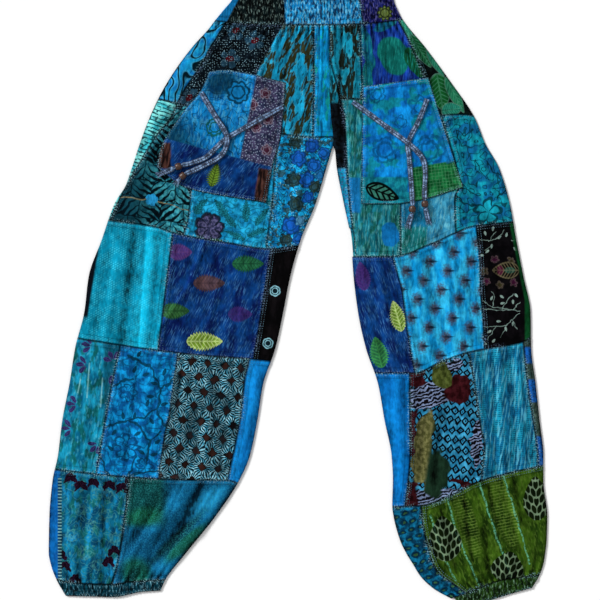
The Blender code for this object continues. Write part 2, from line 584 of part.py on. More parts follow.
def resting_height(x, y, reach):
    """Highest cloth within reach of a point, which a tie or a bead lies on."""
    heights = []
    for turn in range(TIE_LOOKS + 1):
        angle = turn * 2 * math.pi / TIE_LOOKS
        radius = reach if turn < TIE_LOOKS else 0.0
        near_x = np.array([x + radius * math.cos(angle)])
        near_y = np.array([y + radius * math.sin(angle)])
        layers = 2 if on_pocket(float(near_x[0]), float(near_y[0])) else 1
        wall = CLOTH * MM * float(stretch(near_x, near_y)[0])
        heights.append(float(lie(near_x, near_y)[0]) + layers * wall + (layers - 1) * POCKET_GAP * MM)
    return max(heights)


def smooth_route(route):
    """Dense points of a smooth curve through the route, in metres."""
    points = [Vector((x * MM, y * MM)) for x, y in route]
    points = [points[0] * 2 - points[1]] + points + [points[-1] * 2 - points[-2]]
    dense = []
    for before, start, end, after in zip(points, points[1:], points[2:], points[3:]):
        for step in range(TIE_CURVE_STEPS):
            t = step / TIE_CURVE_STEPS
            bend = 2 * before - 5 * start + 4 * end - after
            twist = 3 * start - before - 3 * end + after
            dense.append(0.5 * (2 * start + (end - before) * t + bend * t * t + twist * t**3))
    dense.append(points[-2])
    return dense


def run_lengths(dense):
    lengths = [0.0]
    for here, there in zip(dense, dense[1:]):
        lengths.append(lengths[-1] + (there - here).length)
    return np.array(lengths)


def tie_points(tie):
    """Centre points of a tie with its width share at each, and the bead's place and direction."""
    dense = smooth_route(tie.route)
    lengths = run_lengths(dense)
    plan = np.array([(p.x, p.y) for p in dense])
    bead = np.array(tie.bead_at) * MM
    bead_run = float(lengths[np.argmin(np.hypot(*(plan - bead).T))])
    cuts = [bead_run + off * MM for off in (-BEAD_SHOULDER, -BEAD_PINCH, 0, BEAD_PINCH, BEAD_SHOULDER)]
    tail = lengths[-1] - cuts[-1]
    before = np.linspace(0, cuts[0], max(2, round(cuts[0] / (TIE_STEP * MM)) + 1))
    after = np.linspace(cuts[-1], lengths[-1], max(2, round(tail / (TIE_STEP * MM)) + 1))
    runs = list(before) + cuts[1:-1] + list(after)
    radius = TIE_WIDTH * MM / 2
    bead_radius = BEAD_WIDTH * MM / 2
    made = []
    for run in runs:
        x = float(np.interp(run, lengths, plan[:, 0]))
        y = float(np.interp(run, lengths, plan[:, 1]))
        nearness = 1 - float(smooth((abs(run - bead_run) / MM - BEAD_PINCH) / (2 * BEAD_SHOULDER)))
        z = resting_height(x, y, 2 * radius) + TIE_GAP * MM + radius
        z = z + (bead_radius - radius) * nearness
        if tie.crosses_at:
            off = math.dist((x, y), (tie.crosses_at[0] * MM, tie.crosses_at[1] * MM))
            z = z + TIE_CROSS_LIFT * MM * float(1 - smooth((off / MM - TIE_CROSS_FLAT) / TIE_CROSS_REACH))
        narrow = abs(run - bead_run) < (BEAD_PINCH + BEAD_SHOULDER) * MM / 2
        made.append((Vector((x, y, z)), TIE_IN_BEAD if narrow else 1.0))
    middle = len(before) + 1
    bead_height = max(made[index][0].z for index in (middle - 1, middle, middle + 1))
    for index in (middle - 1, middle + 1):
        made[index][0].z = bead_height
    place = (made[middle - 1][0] + made[middle + 1][0]) / 2
    made[middle] = (place, TIE_IN_BEAD)
    direction = (made[middle + 1][0] - made[middle - 1][0]).normalized()
    return made, place.copy(), direction


def make_tie(tie, made, collection):
    curve = bpy.data.curves.new(tie.name, "CURVE")
    curve.dimensions = "3D"
    curve.bevel_depth = TIE_WIDTH * MM / 2
    curve.bevel_resolution = 2
    curve.use_fill_caps = True
    spline = curve.splines.new("POLY")
    spline.points.add(len(made) - 1)
    for point, (place, share) in zip(spline.points, made):
        point.co = (*place, 1)
        point.radius = share
    return finish_object(tie.name, curve, TIE_COLOUR, 0.8, collection)


def make_bead(tie, place, direction, collection):
    """A turned wooden bead with a bore, its axis along the tie."""
    bore, outer, half = BEAD_BORE * MM / 2, BEAD_WIDTH * MM / 2, BEAD_LENGTH * MM / 2
    mesh = bpy.data.meshes.new(tie.bead_name)
    lip = bore + BEAD_LIP * MM
    flank = [(bore, half * BEAD_MOUTH), (lip, half)]
    for step in range(1, BEAD_RINGS):
        angle = math.pi * step / BEAD_RINGS
        flank.append((lip + (outer - lip) * math.sin(angle) ** BEAD_FULLNESS, half * math.cos(angle)))
    flank.extend([(lip, -half), (bore, -half * BEAD_MOUTH)])
    points = [(radius, 0, height) for radius, height in flank]
    edges = [(i, (i + 1) % len(points)) for i in range(len(points))]
    mesh.from_pydata(points, edges, [])
    bead = finish_object(tie.bead_name, mesh, BEAD_COLOUR, 0.4, collection)
    turn = bead.modifiers.new("turned", "SCREW")
    turn.steps = BEAD_STEPS
    turn.render_steps = BEAD_STEPS
    turn.use_merge_vertices = True
    turn.merge_threshold = 0.00001
    turn.use_smooth_shade = True
    bead.location = place
    bead.rotation_euler = direction.to_track_quat("Z", "Y").to_euler()
    return bead


def centre_on_box(sheets, others):
    """Moves everything so that the garment's box stands centred on the origin."""
    corners = np.array([vert.co[:] for made in sheets for vert in made.data.vertices])
    low, high = corners.min(axis=0), corners.max(axis=0)
    shift = Vector((-(low[0] + high[0]) / 2, -(low[1] + high[1]) / 2, -low[2]))
    for made in sheets + others:
        made.location = made.location + shift


def main():
    for old in list(bpy.data.objects):
        bpy.data.objects.remove(old, do_unlink=True)
    collection = bpy.data.collections.new("harem_pants")
    bpy.context.scene.collection.children.link(collection)
    sheets = [make_patch(patch, collection) for patch in PATCHES]
    sheets += [make_panel(patch, collection) for patch in PANELS]
    sheets += [make_band(patch, collection) for patch in BANDS]
    sheets += [make_pocket(patch, collection) for patch in POCKETS]
    others = []
    for tie in TIES:
        made, place, direction = tie_points(tie)
        others.append(make_tie(tie, made, collection))
        others.append(make_bead(tie, place, direction, collection))
    centre_on_box(sheets, others)


main()
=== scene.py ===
import math
import re
from collections import namedtuple
from functools import partialmethod

import bpy
import numpy as np
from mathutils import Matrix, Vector


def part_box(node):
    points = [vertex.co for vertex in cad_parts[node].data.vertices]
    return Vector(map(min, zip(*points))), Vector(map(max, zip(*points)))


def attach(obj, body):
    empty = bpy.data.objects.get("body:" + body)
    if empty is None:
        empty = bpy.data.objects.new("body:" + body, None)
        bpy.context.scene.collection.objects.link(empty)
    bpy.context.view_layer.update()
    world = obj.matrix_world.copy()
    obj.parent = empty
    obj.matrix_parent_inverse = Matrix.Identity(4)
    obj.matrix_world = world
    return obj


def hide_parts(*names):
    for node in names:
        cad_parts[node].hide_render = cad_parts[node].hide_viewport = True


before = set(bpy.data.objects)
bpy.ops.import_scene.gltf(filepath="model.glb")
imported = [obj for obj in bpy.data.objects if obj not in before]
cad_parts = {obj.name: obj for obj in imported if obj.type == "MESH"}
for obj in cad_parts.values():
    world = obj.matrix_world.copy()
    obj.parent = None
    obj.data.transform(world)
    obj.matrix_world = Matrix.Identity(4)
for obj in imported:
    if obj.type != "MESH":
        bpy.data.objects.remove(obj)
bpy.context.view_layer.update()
print("frame loaded")

mm = 0.001
boxShift = (-0.000468, 0.002235)  # from the garment's own drawing to the frame, in metres


# camera, straight down
camera = {"frameWidth": 0.93, "height": 2.4, "sensor": 36.0, "across": 0.0031, "up": -0.0148}
lens = bpy.data.cameras.new("overheadCamera")
lens.sensor_width = camera["sensor"]
lens.lens = camera["sensor"] * camera["height"] / camera["frameWidth"]
overhead = bpy.data.objects.new("overheadCamera", lens)
overhead.location = (camera["across"], camera["up"], camera["height"])
bpy.context.scene.collection.objects.link(overhead)
bpy.context.scene.camera = overhead


# the garment's drawing: edges that run up and down (height, across), in millimetres
sideRows = {
    "leftOuter": (
        (490, -92), (462, -95), (448, -101), (432, -114), (415, -128), (403, -137), (374, -163),
        (336, -191), (299, -213), (262, -230), (225, -244), (188, -256), (160, -266), (132, -283),
        (76, -303), (20, -323), (-36, -330), (-91, -344), (-147, -353), (-203, -364), (-259, -371),
        (-296, -379), (-352, -384), (-408, -385), (-429, -381), (-450, -373), (-476, -358)),
    "leftInner": (
        (409, 49), (355, 49), (272, 51), (228, 55), (212, 51), (188, 44), (132, 27), (76, 4),
        (20, -12), (-36, -23), (-91, -35), (-147, -54), (-203, -63), (-259, -75), (-296, -91),
        (-352, -128), (-408, -173), (-451, -206), (-467, -213)),
    "rightInner": (
        (409, 49), (355, 49), (272, 51), (228, 55), (224, 55), (216, 58), (188, 61), (132, 72),
        (76, 83), (20, 87), (-36, 94), (-91, 106), (-147, 125), (-203, 135), (-259, 146),
        (-296, 148), (-336, 147), (-352, 149), (-389, 159), (-408, 168), (-426, 179), (-445, 191),
        (-463, 210), (-479, 238)),
    "rightOuter": (
        (490, 142), (448, 148), (432, 154), (417, 162), (374, 197), (318, 238), (281, 264),
        (262, 275), (225, 290), (188, 311), (132, 328), (76, 338), (20, 349), (-36, 360),
        (-91, 361), (-147, 368), (-203, 374), (-259, 380), (-296, 380), (-352, 386),
        (-389, 385), (-408, 383), (-426, 380), (-445, 373), (-463, 362)),
    "bandDarkEdge": ((490, -24), (414, -20)),
    "bandNavyEdge": ((490, 90), (417, 100)),
    "scrollEdge": ((414, -110), (386, -127), (370, -137), (355, -144), (298, -181), (284, -187)),
    "dottedEdge": ((414, -20), (391, -34), (339, -61), (254, -92)),
    "leftCamoEdge": ((409, 25), (355, 25), (236, 24)),
    "stripedEdge": ((287, -185), (264, -197), (236, -219), (196, -244), (153, -269), (105, -292)),
    "leafyEdge": ((274, -130), (149, -165), (109, -169), (88, -175)),
    "fernEdge": ((246, -27), (192, -35), (135, -39), (76, -47), (60, -48)),
    "turquoiseEdge": ((91, -193), (-7, -205), (-95, -216)),
    "leftNavyEdge": ((65, -41), (-59, -60), (-112, -69)),
    "tealEdge": ((-87, -274), (-141, -286), (-281, -311)),
    "vineEdge": ((-98, -185), (-141, -191), (-184, -197), (-228, -206), (-291, -215)),
    "hatchedEdge": ((-107, -74), (-141, -82), (-195, -88), (-299, -109)),
    "leftShinEdge": ((-290, -260), (-336, -265), (-380, -271), (-423, -278), (-457, -288)),
    "gussetEdge": (
        (409, 49), (362, 50), (308, 63), (260, 73), (191, 76), (138, 80), (76, 87), (51, 89)),
    "rightCamoEdge": ((417, 95), (360, 98), (284, 101)),
    "rightLeafEdge": ((420, 154), (374, 177), (324, 197), (274, 214)),
    "washEdge": ((293, 146), (132, 159), (51, 159)),
    "outlineEdge": ((274, 221), (157, 249), (141, 243), (76, 245)),
    "rightNavyEdge": ((53, 146), (-6, 162), (-74, 171), (-132, 182)),
    "spottedEdge": ((98, 276), (50, 281), (-6, 283), (-52, 287), (-95, 289)),
    "plainEdge": ((-129, 173), (-250, 174), (-296, 171), (-336, 166)),
    "netEdge": ((-95, 264), (-141, 273), (-217, 284), (-239, 289), (-299, 284)),
    "sideStripEdge": ((-79, 349), (-141, 355), (-250, 371), (-276, 373)),
    "rightShinEdge": (
        (-333, 191), (-358, 193), (-401, 202), (-434, 214), (-459, 245), (-476, 268)),
    "rightCuffInner": ((-477, 242), (-496, 258)),
    "leftPocketOuter": ((336, -137), (305, -151), (277, -175), (215, -213), (188, -218)),
    "leftPocketInner": ((319, -18), (236, -26), (192, -38), (133, -49)),
    "rightPocketInner": ((313, 100), (132, 98)),
    "rightPocketOuter": ((327, 202), (267, 221), (158, 256)),
}

# edges that run across (across, height), in millimetres
seamRows = {
    "waistTop": ((-96, 488), (24, 491), (145, 488)),
    "waistSeam": ((-128, 415), (-58, 409), (49, 409), (112, 411), (162, 417)),
    "leftHipSeam": ((-216, 294), (-185, 287), (-105, 260), (-26, 240), (24, 235), (56, 235)),
    "leftThighSeam": ((-297, 107), (-216, 95), (-193, 87), (-117, 73), (-41, 62), (1, 67)),
    "leftKneeSeam": ((-342, -76), (-216, -95), (-144, -103), (-74, -108), (-38, -112)),
    "leftCalfSeam": ((-378, -279), (-260, -291), (-182, -295), (-108, -296), (-89, -302)),
    "leftHem": ((-376, -449), (-345, -455), (-286, -457), (-258, -453), (-203, -450)),
    "leftEnd": ((-359, -475), (-323, -476), (-285, -477), (-241, -469), (-212, -467)),
    "gussetTop": ((49, 352), (73, 352)),
    "gussetJoin": ((49, 188), (90, 188)),
    "gussetEnd": ((73, 94), (89, 94)),
    "rightHipSeam": ((52, 294), (104, 293), (166, 277), (212, 268), (246, 270), (280, 268)),
    "rightThighSeam": ((84, 50), (148, 50), (207, 70), (273, 97), (335, 104)),
    "rightKneeSeam": (
        (118, -130), (180, -130), (223, -112), (264, -98), (289, -93), (348, -82), (362, -74)),
    "rightCalfSeam": ((146, -337), (191, -335), (231, -322), (280, -298), (329, -284), (382, -273)),
    "rightHem": ((238, -479), (280, -463), (314, -451), (345, -446), (374, -443)),
    "rightEnd": ((256, -496), (295, -483), (334, -471), (362, -463)),
    "leftPocketTop": ((-137, 336), (-115, 339), (-72, 332), (-18, 319)),
    "leftPocketEnd": ((-218, 188), (-172, 156), (-49, 133)),
    "rightPocketTop": ((100, 313), (202, 327)),
    "rightPocketEnd": ((98, 131), (150, 131), (190, 137), (256, 157)),
}

# broad folds: across and height of the start, then of the end, half the width, and the rise of the
# ridge, which is negative in a trough, in millimetres
broadFolds = (
    (-175, 355, -229, 262, 10, 2.8),
    (-176, 304, -192, 258, 9, -2.2),
    (-192, 258, -219, 210, 9, -2.2),
    (-229, 215, -262, 120, 9, 2.2),
    (-70, 392, -62, 340, 9, 2.4),
    (4, 215, -12, 76, 9, 2.0),
    (-229, 88, -240, -87, 9, 3.2),
    (-255, 84, -272, -87, 8, -1.6),
    (-278, 60, -300, -71, 8, 1.8),
    (-148, 68, -167, 6, 7, 1.6),
    (-167, 6, -210, -54, 7, 1.6),
    (-95, 40, -118, -80, 11, 1.4),
    (-229, -126, -252, -265, 10, 2.2),
    (-309, -141, -331, -265, 8, -1.4),
    (-66, -126, -85, -234, 8, 1.7),
    (-140, -120, -150, -270, 11, 1.5),
    (-164, -298, -218, -366, 12, 4.6),
    (-218, -366, -271, -424, 11, 4.2),
    (-151, -304, -183, -370, 7, -2.0),
    (-183, -370, -246, -446, 7, -2.2),
    (-119, -318, -159, -370, 10, 3.6),
    (-159, -370, -212, -437, 9, 3.4),
    (-314, -310, -325, -436, 9, 2.6),
    (-352, -320, -352, -420, 8, 2.0),
    (66, 398, 68, 200, 8, -2.0),
    (84, 401, 84, 300, 7, 2.8),
    (150, 395, 168, 335, 8, 2.2),
    (84, 231, 95, 60, 7, 2.0),
    (259, 246, 305, 120, 10, 2.8),
    (285, 60, 300, -80, 10, 1.6),
    (120, 42, 143, -118, 8, 2.4),
    (221, 53, 239, -108, 10, 2.3),
    (200, 40, 212, -100, 8, -1.3),
    (150, -140, 160, -320, 9, 1.7),
    (207, -188, 196, -296, 8, 3.0),
    (222, -195, 210, -300, 6, -1.6),
    (309, -98, 314, -281, 6, 1.9),
    (337, -95, 345, -272, 6, 1.6),
    (231, -322, 244, -374, 6, 2.6),
    (244, -374, 276, -448, 6, 2.6),
    (280, -300, 304, -374, 6, 2.6),
    (304, -374, 328, -440, 6, 2.6),
    (318, -288, 344, -374, 6, 2.4),
    (344, -374, 359, -425, 6, 2.2),
    (205, -350, 227, -417, 6, 2.0),
    (289, -380, 296, -445, 7, -2.4),
)

# sharp creases on top of them, given in the same way
fineCreases = (
    (-146, 72, -168, 8, 2.4, 1.1),
    (-168, 8, -212, -56, 2.4, 1.1),
    (-141, 70, -163, 6, 2.2, -0.8),
    (-163, 6, -207, -58, 2.2, -0.8),
    (-236, 84, -248, -88, 2.6, -0.7),
    (-212, -330, -262, -420, 2.4, 0.9),
    (-206, -332, -256, -424, 2.4, -0.8),
    (93, 12, 128, -120, 1.8, 0.5),
    (108, 44, 139, -110, 1.7, 0.6),
    (120, 46, 151, -100, 1.7, 0.5),
    (134, 46, 160, -70, 1.6, 0.45),
    (275, -100, 286, -282, 2.0, 0.5),
    (320, -92, 329, -280, 1.8, 0.5),
    (296, -96, 301, -290, 1.8, 0.45),
    (341, -90, 352, -270, 1.8, 0.5),
    (66, 395, 66, 230, 2.4, -0.9),
    (10, 400, 8, 280, 3.4, 1.3),
    (36, 402, 34, 300, 3.0, 1.2),
    (23, 404, 22, 262, 3.0, -1.1),
    (46, 400, 58, 250, 3.2, -1.2),
    (-30, 404, -48, 316, 4.0, 1.4),
    (-12, 404, -20, 330, 3.0, -1.0),
    (-64, 404, -88, 330, 3.4, 1.1),
    (-92, 400, -126, 336, 3.4, -1.1),
    (-112, 400, -160, 316, 3.6, 1.3),
    (112, 404, 112, 324, 3.2, 1.2),
    (132, 404, 138, 336, 3.4, -1.0),
    (160, 404, 184, 344, 3.6, 1.2),
    (190, 372, 226, 300, 3.4, 1.0),
    (-250, 226, -268, 150, 3.2, 0.9),
    (-214, 176, -250, 120, 3.6, 1.0),
    (-176, 148, -232, 104, 3.2, -0.8),
    (-72, 120, -92, 70, 3.0, 0.8),
    (-22, 200, -34, 90, 3.4, 0.9),
    (14, 180, -8, 90, 3.0, -0.8),
    (76, 270, 82, 160, 3.0, 1.0),
    (88, 280, 92, 90, 2.8, -0.9),
    (112, 120, 104, 62, 3.4, 0.9),
    (178, 130, 160, 74, 3.4, 0.8),
    (236, 128, 216, 82, 3.0, -0.7),
    (268, 246, 282, 180, 3.4, -0.9),
    (310, 190, 318, 118, 3.2, 1.0),
    (240, 40, 252, -100, 3.4, 1.0),
    (262, 60, 270, -90, 3.0, -0.8),
    (180, 44, 192, -100, 3.2, 0.9),
    (330, 90, 346, -70, 3.2, 0.9),
    (302, 80, 316, -78, 3.0, -0.8),
    (-210, 70, -222, -90, 4.0, 0.6),
    (-262, 90, -284, -70, 5.0, 0.7),
    (-294, 70, -318, -70, 5.0, -0.5),
    (-120, 40, -146, -90, 3.2, 0.9),
    (-76, 60, -96, -96, 3.0, 0.7),
    (-22, 50, -50, -100, 2.8, 0.8),
    (-300, -98, -334, -270, 3.2, 0.8),
    (-246, -104, -268, -276, 3.4, -0.8),
    (-204, -100, -232, -280, 3.2, 0.9),
    (-172, -106, -192, -284, 3.0, 0.8),
    (-118, -110, -140, -288, 3.4, -0.8),
    (-94, -112, -116, -290, 3.0, 0.8),
    (-342, -290, -348, -440, 3.2, 1.0),
    (-298, -300, -304, -446, 3.2, -0.9),
    (-240, -330, -286, -440, 3.4, 1.1),
    (-180, -306, -232, -420, 3.4, -1.1),
    (-130, -306, -204, -424, 3.2, 1.1),
    (176, -120, 184, -300, 3.0, 0.8),
    (226, -116, 232, -318, 3.2, -0.8),
    (252, -104, 262, -296, 3.0, 0.8),
    (172, -340, 200, -430, 3.2, 0.9),
    (258, -330, 272, -440, 3.4, -1.3),
    (296, -310, 322, -440, 3.4, -1.2),
    (336, -300, 356, -430, 3.2, -1.0),
    (222, -344, 246, -440, 3.0, -1.0),
    (138, -150, 141, -300, 2.2, 0.5),
    (126, -180, 150, -190, 2.4, 0.6),
    (-62, -130, -80, -230, 2.2, 0.5),
    (200, -150, 186, -250, 2.4, 0.6),
)

cloth = {
    "wall": 1.2,  # the solids' cloth, which the shells lie on
    "shell": 0.9,
    "seamHalfGap": 0.07,
    "layerGap": 0.4,
    "backInset": 0.9,
    "edgeRise": 2.4,
    "edgeRoll": 15.0,
    "bandFade": 34.0,
    "foldEnd": 1.5,
    "mostStretch": 1.45,
    "cell": 2.0,
    "rowCell": 2.2,
    "gatherCells": 4,
    "backCell": 5.0,
    "crinkle": 1.45,
    "welt": 0.45,
    "weltWidth": 7.4,
    "pucker": 0.26,
    "puckerPitch": 7.0,
    "stitchRows": (1.9, 6.0),
    "ditch": 0.4,
    "ditchWidth": 0.8,
}
foldedEdges = ("leftOuter", "rightOuter", "leftInner", "rightInner", "rightCuffInner")


def curveThrough(rows):
    # smooth, never swinging past its rows, straight beyond its ends
    table = np.array(sorted(rows), dtype=float) * mm
    along, across = table[:, 0], table[:, 1]
    step = np.diff(along)
    slope = np.diff(across) / step
    tangent = np.zeros(len(along))
    tangent[0] = slope[0]
    tangent[-1] = slope[-1]
    for i in range(1, len(slope)):
        before, after = slope[i - 1], slope[i]
        if before * after > 0:
            tangent[i] = 2 * before * after / (before + after)

    def value(at):
        at = np.asarray(at, dtype=float)
        i = np.clip(np.searchsorted(along, at) - 1, 0, len(step) - 1)
        t = (at - along[i]) / step[i]
        s = np.clip(t, 0, 1)
        start = (1 + 2 * s) * (1 - s) ** 2 * across[i] + s * (1 - s) ** 2 * step[i] * tangent[i]
        end = s * s * (3 - 2 * s) * across[i + 1] + s * s * (s - 1) * step[i] * tangent[i + 1]
        beyond = (t - s) * step[i] * np.where(t < 0, tangent[i], tangent[i + 1])
        return start + end + beyond

    return value


side = {name: curveThrough(rows) for name, rows in sideRows.items()}
seam = {name: curveThrough(rows) for name, rows in seamRows.items()}
crotchHeight = 228 * mm
crotchAcross = 55 * mm
frontBase = (cloth["wall"] + cloth["layerGap"]) * mm


def smooth(share):
    share = np.clip(share, 0, 1)
    return share * share * (3 - 2 * share)


def softNoise(x, y, size, seed):
    # smooth bumps about `size` millimetres across, between -1 and 1
    table = np.random.default_rng(seed).uniform(-1, 1, (128, 128))
    u, v = x / (size * mm), y / (size * mm)
    i, j = np.floor(u).astype(int), np.floor(v).astype(int)
    su, sv = smooth(u - i), smooth(v - j)
    i, j = i % 127, j % 127
    top = table[j, i] * (1 - su) + table[j, i + 1] * su
    low = table[j + 1, i] * (1 - su) + table[j + 1, i + 1] * su
    return top * (1 - sv) + low * sv


def edgeDistance(x, y):
    toLeft = x - side["leftOuter"](y)
    toRight = side["rightOuter"](y) - x
    toCrotch = np.hypot(x - crotchAcross, y - crotchHeight)
    toInner = np.where(x < crotchAcross, side["leftInner"](y) - x, x - side["rightInner"](y))
    inside = np.where(y > crotchHeight, toCrotch, toInner)
    return np.minimum(np.minimum(toLeft, toRight), inside)


def foldRise(x, y, folds):
    rise = np.zeros_like(x)
    for row in folds:
        startX, startY, endX, endY, width, most = [value * mm for value in row]
        runX, runY = endX - startX, endY - startY
        length = math.hypot(runX, runY)
        fromX, fromY = x - startX, y - startY
        along = (fromX * runX + fromY * runY) / length
        across = (fromX * runY - fromY * runX) / length
        pastEnd = np.maximum(np.maximum(-along, along - length), 0)
        spread = (across / width) ** 2 + (pastEnd / (cloth["foldEnd"] * width)) ** 2
        rise = rise + most * np.exp(-spread)
    return rise


def freeShare(x, y):
    # how far the cloth may stand off: nothing at the folded edges and at the elastic
    inside = np.clip(edgeDistance(x, y) / (cloth["edgeRoll"] * mm), 0, 1)
    roll = np.sqrt(1 - (1 - inside) ** 2)
    belowWaist = (seam["waistSeam"](x) - y) / (cloth["bandFade"] * mm)
    hem = np.where(x < crotchAcross, seam["leftHem"](x), seam["rightHem"](x))
    aboveHem = (y - hem) / (cloth["bandFade"] * mm)
    return smooth(belowWaist) * smooth(aboveHem) * roll


def lie(x, y):
    # height of the front's inside over the table
    rise = cloth["edgeRise"] * mm + foldRise(x, y, broadFolds)
    return frontBase + np.maximum(rise * freeShare(x, y), 0)


def stretchOf(x, y):
    slopeX = (lie(x + mm, y) - lie(x - mm, y)) / (2 * mm)
    slopeY = (lie(x, y + mm) - lie(x, y - mm)) / (2 * mm)
    return np.minimum(np.sqrt(1 + slopeX**2 + slopeY**2), cloth["mostStretch"])


# ties: a flat sewn strip each, from the pocket's side seam to its loose end, in millimetres
Tie = namedtuple("Tie", "piece bead route beadAt crossesAt")
ties = (
    Tie("leftTieOuter", "leftBeadOuter",
        ((-149, 303), (-128, 268), (-110, 238), (-111, 218), (-122, 203), (-144, 191), (-163, 182),
         (-178, 175), (-186, 164)),
        (-178, 175), (-110, 232)),
    Tie("leftTieInner", "leftBeadInner",
        ((-23, 281), (-69, 256), (-110, 232), (-126, 218), (-142, 203), (-165, 194), (-184, 189),
         (-213, 177)),
        (-184, 189), None),
    Tie("rightTieInner", "rightBeadInner",
        ((85, 289), (128, 257), (171, 224), (192, 203), (197, 181), (196, 155), (196, 131),
         (202, 105)),
        (196, 131), (171, 225)),
    Tie("rightTieOuter", "rightBeadOuter",
        ((200, 293), (187, 260), (171, 227), (172, 204), (174, 181), (176, 153), (177, 123),
         (171, 99)),
        (177, 123), None),
)
tieMake = {
    "width": 7.0,
    "thickness": 3.0,
    "clearance": 0.9,
    "crossLift": 4.4,
    "crossFlat": 5.0,
    "crossReach": 20.0,
    "pinchReach": 15.0,
    "step": 1.6,
    "threads": 9,
    "threadLength": 9.0,
    "threadWidth": 0.45,
    "fringe": 2.9,
    "knotFromBead": 8.6,
    "knotThread": 1.35,
    "lean": 0.22,
    "widthShare": 1.12,
    "widthInBead": 0.55,
    "heightInBead": 1.25,
}
beadMake = {"width": 11.0, "length": 9.6, "bore": 4.6, "lip": 0.6, "turns": 40, "rings": 18}
pocketMake = {"gap": 0.5, "reach": 5.0, "edgeSink": 0.35, "edgeWidth": 1.6, "mouthRise": 0.9,
              "mouthFade": 14.0}
pocketEdges = (
    ("leftPocketOuter", "leftPocketInner", "leftPocketTop", "leftPocketEnd"),
    ("rightPocketInner", "rightPocketOuter", "rightPocketTop", "rightPocketEnd"),
)


def pocketInside(x, y):
    reach = pocketMake["reach"] * mm
    around = ((0, 0), (reach, 0), (-reach, 0), (0, reach), (0, -reach))
    heights = [lie(x + across, y + up) for across, up in around]
    return np.max(heights, axis=0) + (cloth["wall"] * stretchOf(x, y) + pocketMake["gap"]) * mm


def onPocket(x, y, near=4.0):
    found = np.zeros(x.shape, dtype=bool)
    for left, right, top, end in pocketEdges:
        wide = (side[left](y) - near * mm < x) & (x < side[right](y) + near * mm)
        tall = (seam[end](x) - near * mm < y) & (y < seam[top](x) + near * mm)
        found = found | (wide & tall)
    return found


def clothTop(x, y, reach):
    # highest cloth within reach of each point
    best = np.zeros_like(x)
    for turn in range(9):
        radius = reach if turn < 8 else 0.0
        nearX = x + radius * math.cos(turn * math.pi / 4)
        nearY = y + radius * math.sin(turn * math.pi / 4)
        wall = cloth["wall"] * mm * stretchOf(nearX, nearY)
        plain = lie(nearX, nearY) + wall
        pocket = pocketInside(nearX, nearY) + wall
        best = np.maximum(best, np.where(onPocket(nearX, nearY), pocket, plain))
    return best


def smoothRoute(route, steps=24):
    points = [Vector((x * mm, y * mm)) for x, y in route]
    points = [points[0] * 2 - points[1]] + points + [points[-1] * 2 - points[-2]]
    dense = []
    for before, start, end, after in zip(points, points[1:], points[2:], points[3:]):
        for step in range(steps):
            t = step / steps
            bend = 2 * before - 5 * start + 4 * end - after
            twist = 3 * start - before - 3 * end + after
            dense.append(0.5 * (2 * start + (end - before) * t + bend * t * t + twist * t**3))
    dense.append(points[-2])
    return np.array([(point.x, point.y) for point in dense])


def tieLine(tie):
    # even points along a tie in its own drawing, with the run of its bead
    plan = smoothRoute(tie.route)
    runs = np.concatenate([[0], np.cumsum(np.hypot(*np.diff(plan, axis=0).T))])
    even = np.linspace(0, runs[-1], int(runs[-1] / (tieMake["step"] * mm)) + 1)
    x, y = np.interp(even, runs, plan[:, 0]), np.interp(even, runs, plan[:, 1])
    beadX, beadY = tie.beadAt[0] * mm, tie.beadAt[1] * mm
    beadRun = even[np.argmin(np.hypot(x - beadX, y - beadY))]
    low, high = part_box(nodeName(tie.bead))
    beadHeight = (low.z + high.z) / 2
    rest = clothTop(x, y, tieMake["width"] * mm / 2)
    rest = rest + (tieMake["clearance"] + tieMake["thickness"] / 2) * mm
    if tie.crossesAt:
        off = np.hypot(x - tie.crossesAt[0] * mm, y - tie.crossesAt[1] * mm) / mm
        lift = 1 - smooth((off - tieMake["crossFlat"]) / tieMake["crossReach"])
        rest = rest + tieMake["crossLift"] * mm * lift
    rest = np.convolve(np.pad(rest, 4, mode="edge"), np.ones(9) / 9, mode="valid")
    near = 1 - smooth((np.abs(even - beadRun) / mm - 4) / tieMake["pinchReach"])
    return np.stack([x, y, rest * (1 - near) + beadHeight * near], axis=1), even, beadRun


def nodeName(piece):
    return re.sub("([A-Z])", lambda found: "_" + found.group(1).lower(), piece)


def addObject(name, data, material):
    made = bpy.data.objects.new(name, data)
    bpy.context.scene.collection.objects.link(made)
    if material:
        data.materials.append(material)
    return made


def meshFrom(name, vertices, faces):
    mesh = bpy.data.meshes.new(name)
    mesh.from_pydata([tuple(v) for v in vertices], [], faces)
    mesh.polygons.foreach_set("use_smooth", [True] * len(mesh.polygons))
    mesh.update()
    return mesh


def toFrame(points):
    moved = np.array(points, dtype=float)
    moved[:, 0] += boxShift[0]
    moved[:, 1] += boxShift[1]
    return moved


stripSection = (
    (-3.5, 0.0), (-3.1, 0.95), (-2.1, 1.5), (-1.0, 1.3), (0.0, 0.7), (1.0, 1.3), (2.1, 1.5), (3.1, 0.95),
    (3.5, 0.0), (3.0, -1.0), (1.8, -1.4), (0.0, -1.35), (-1.8, -1.4), (-3.0, -1.0))


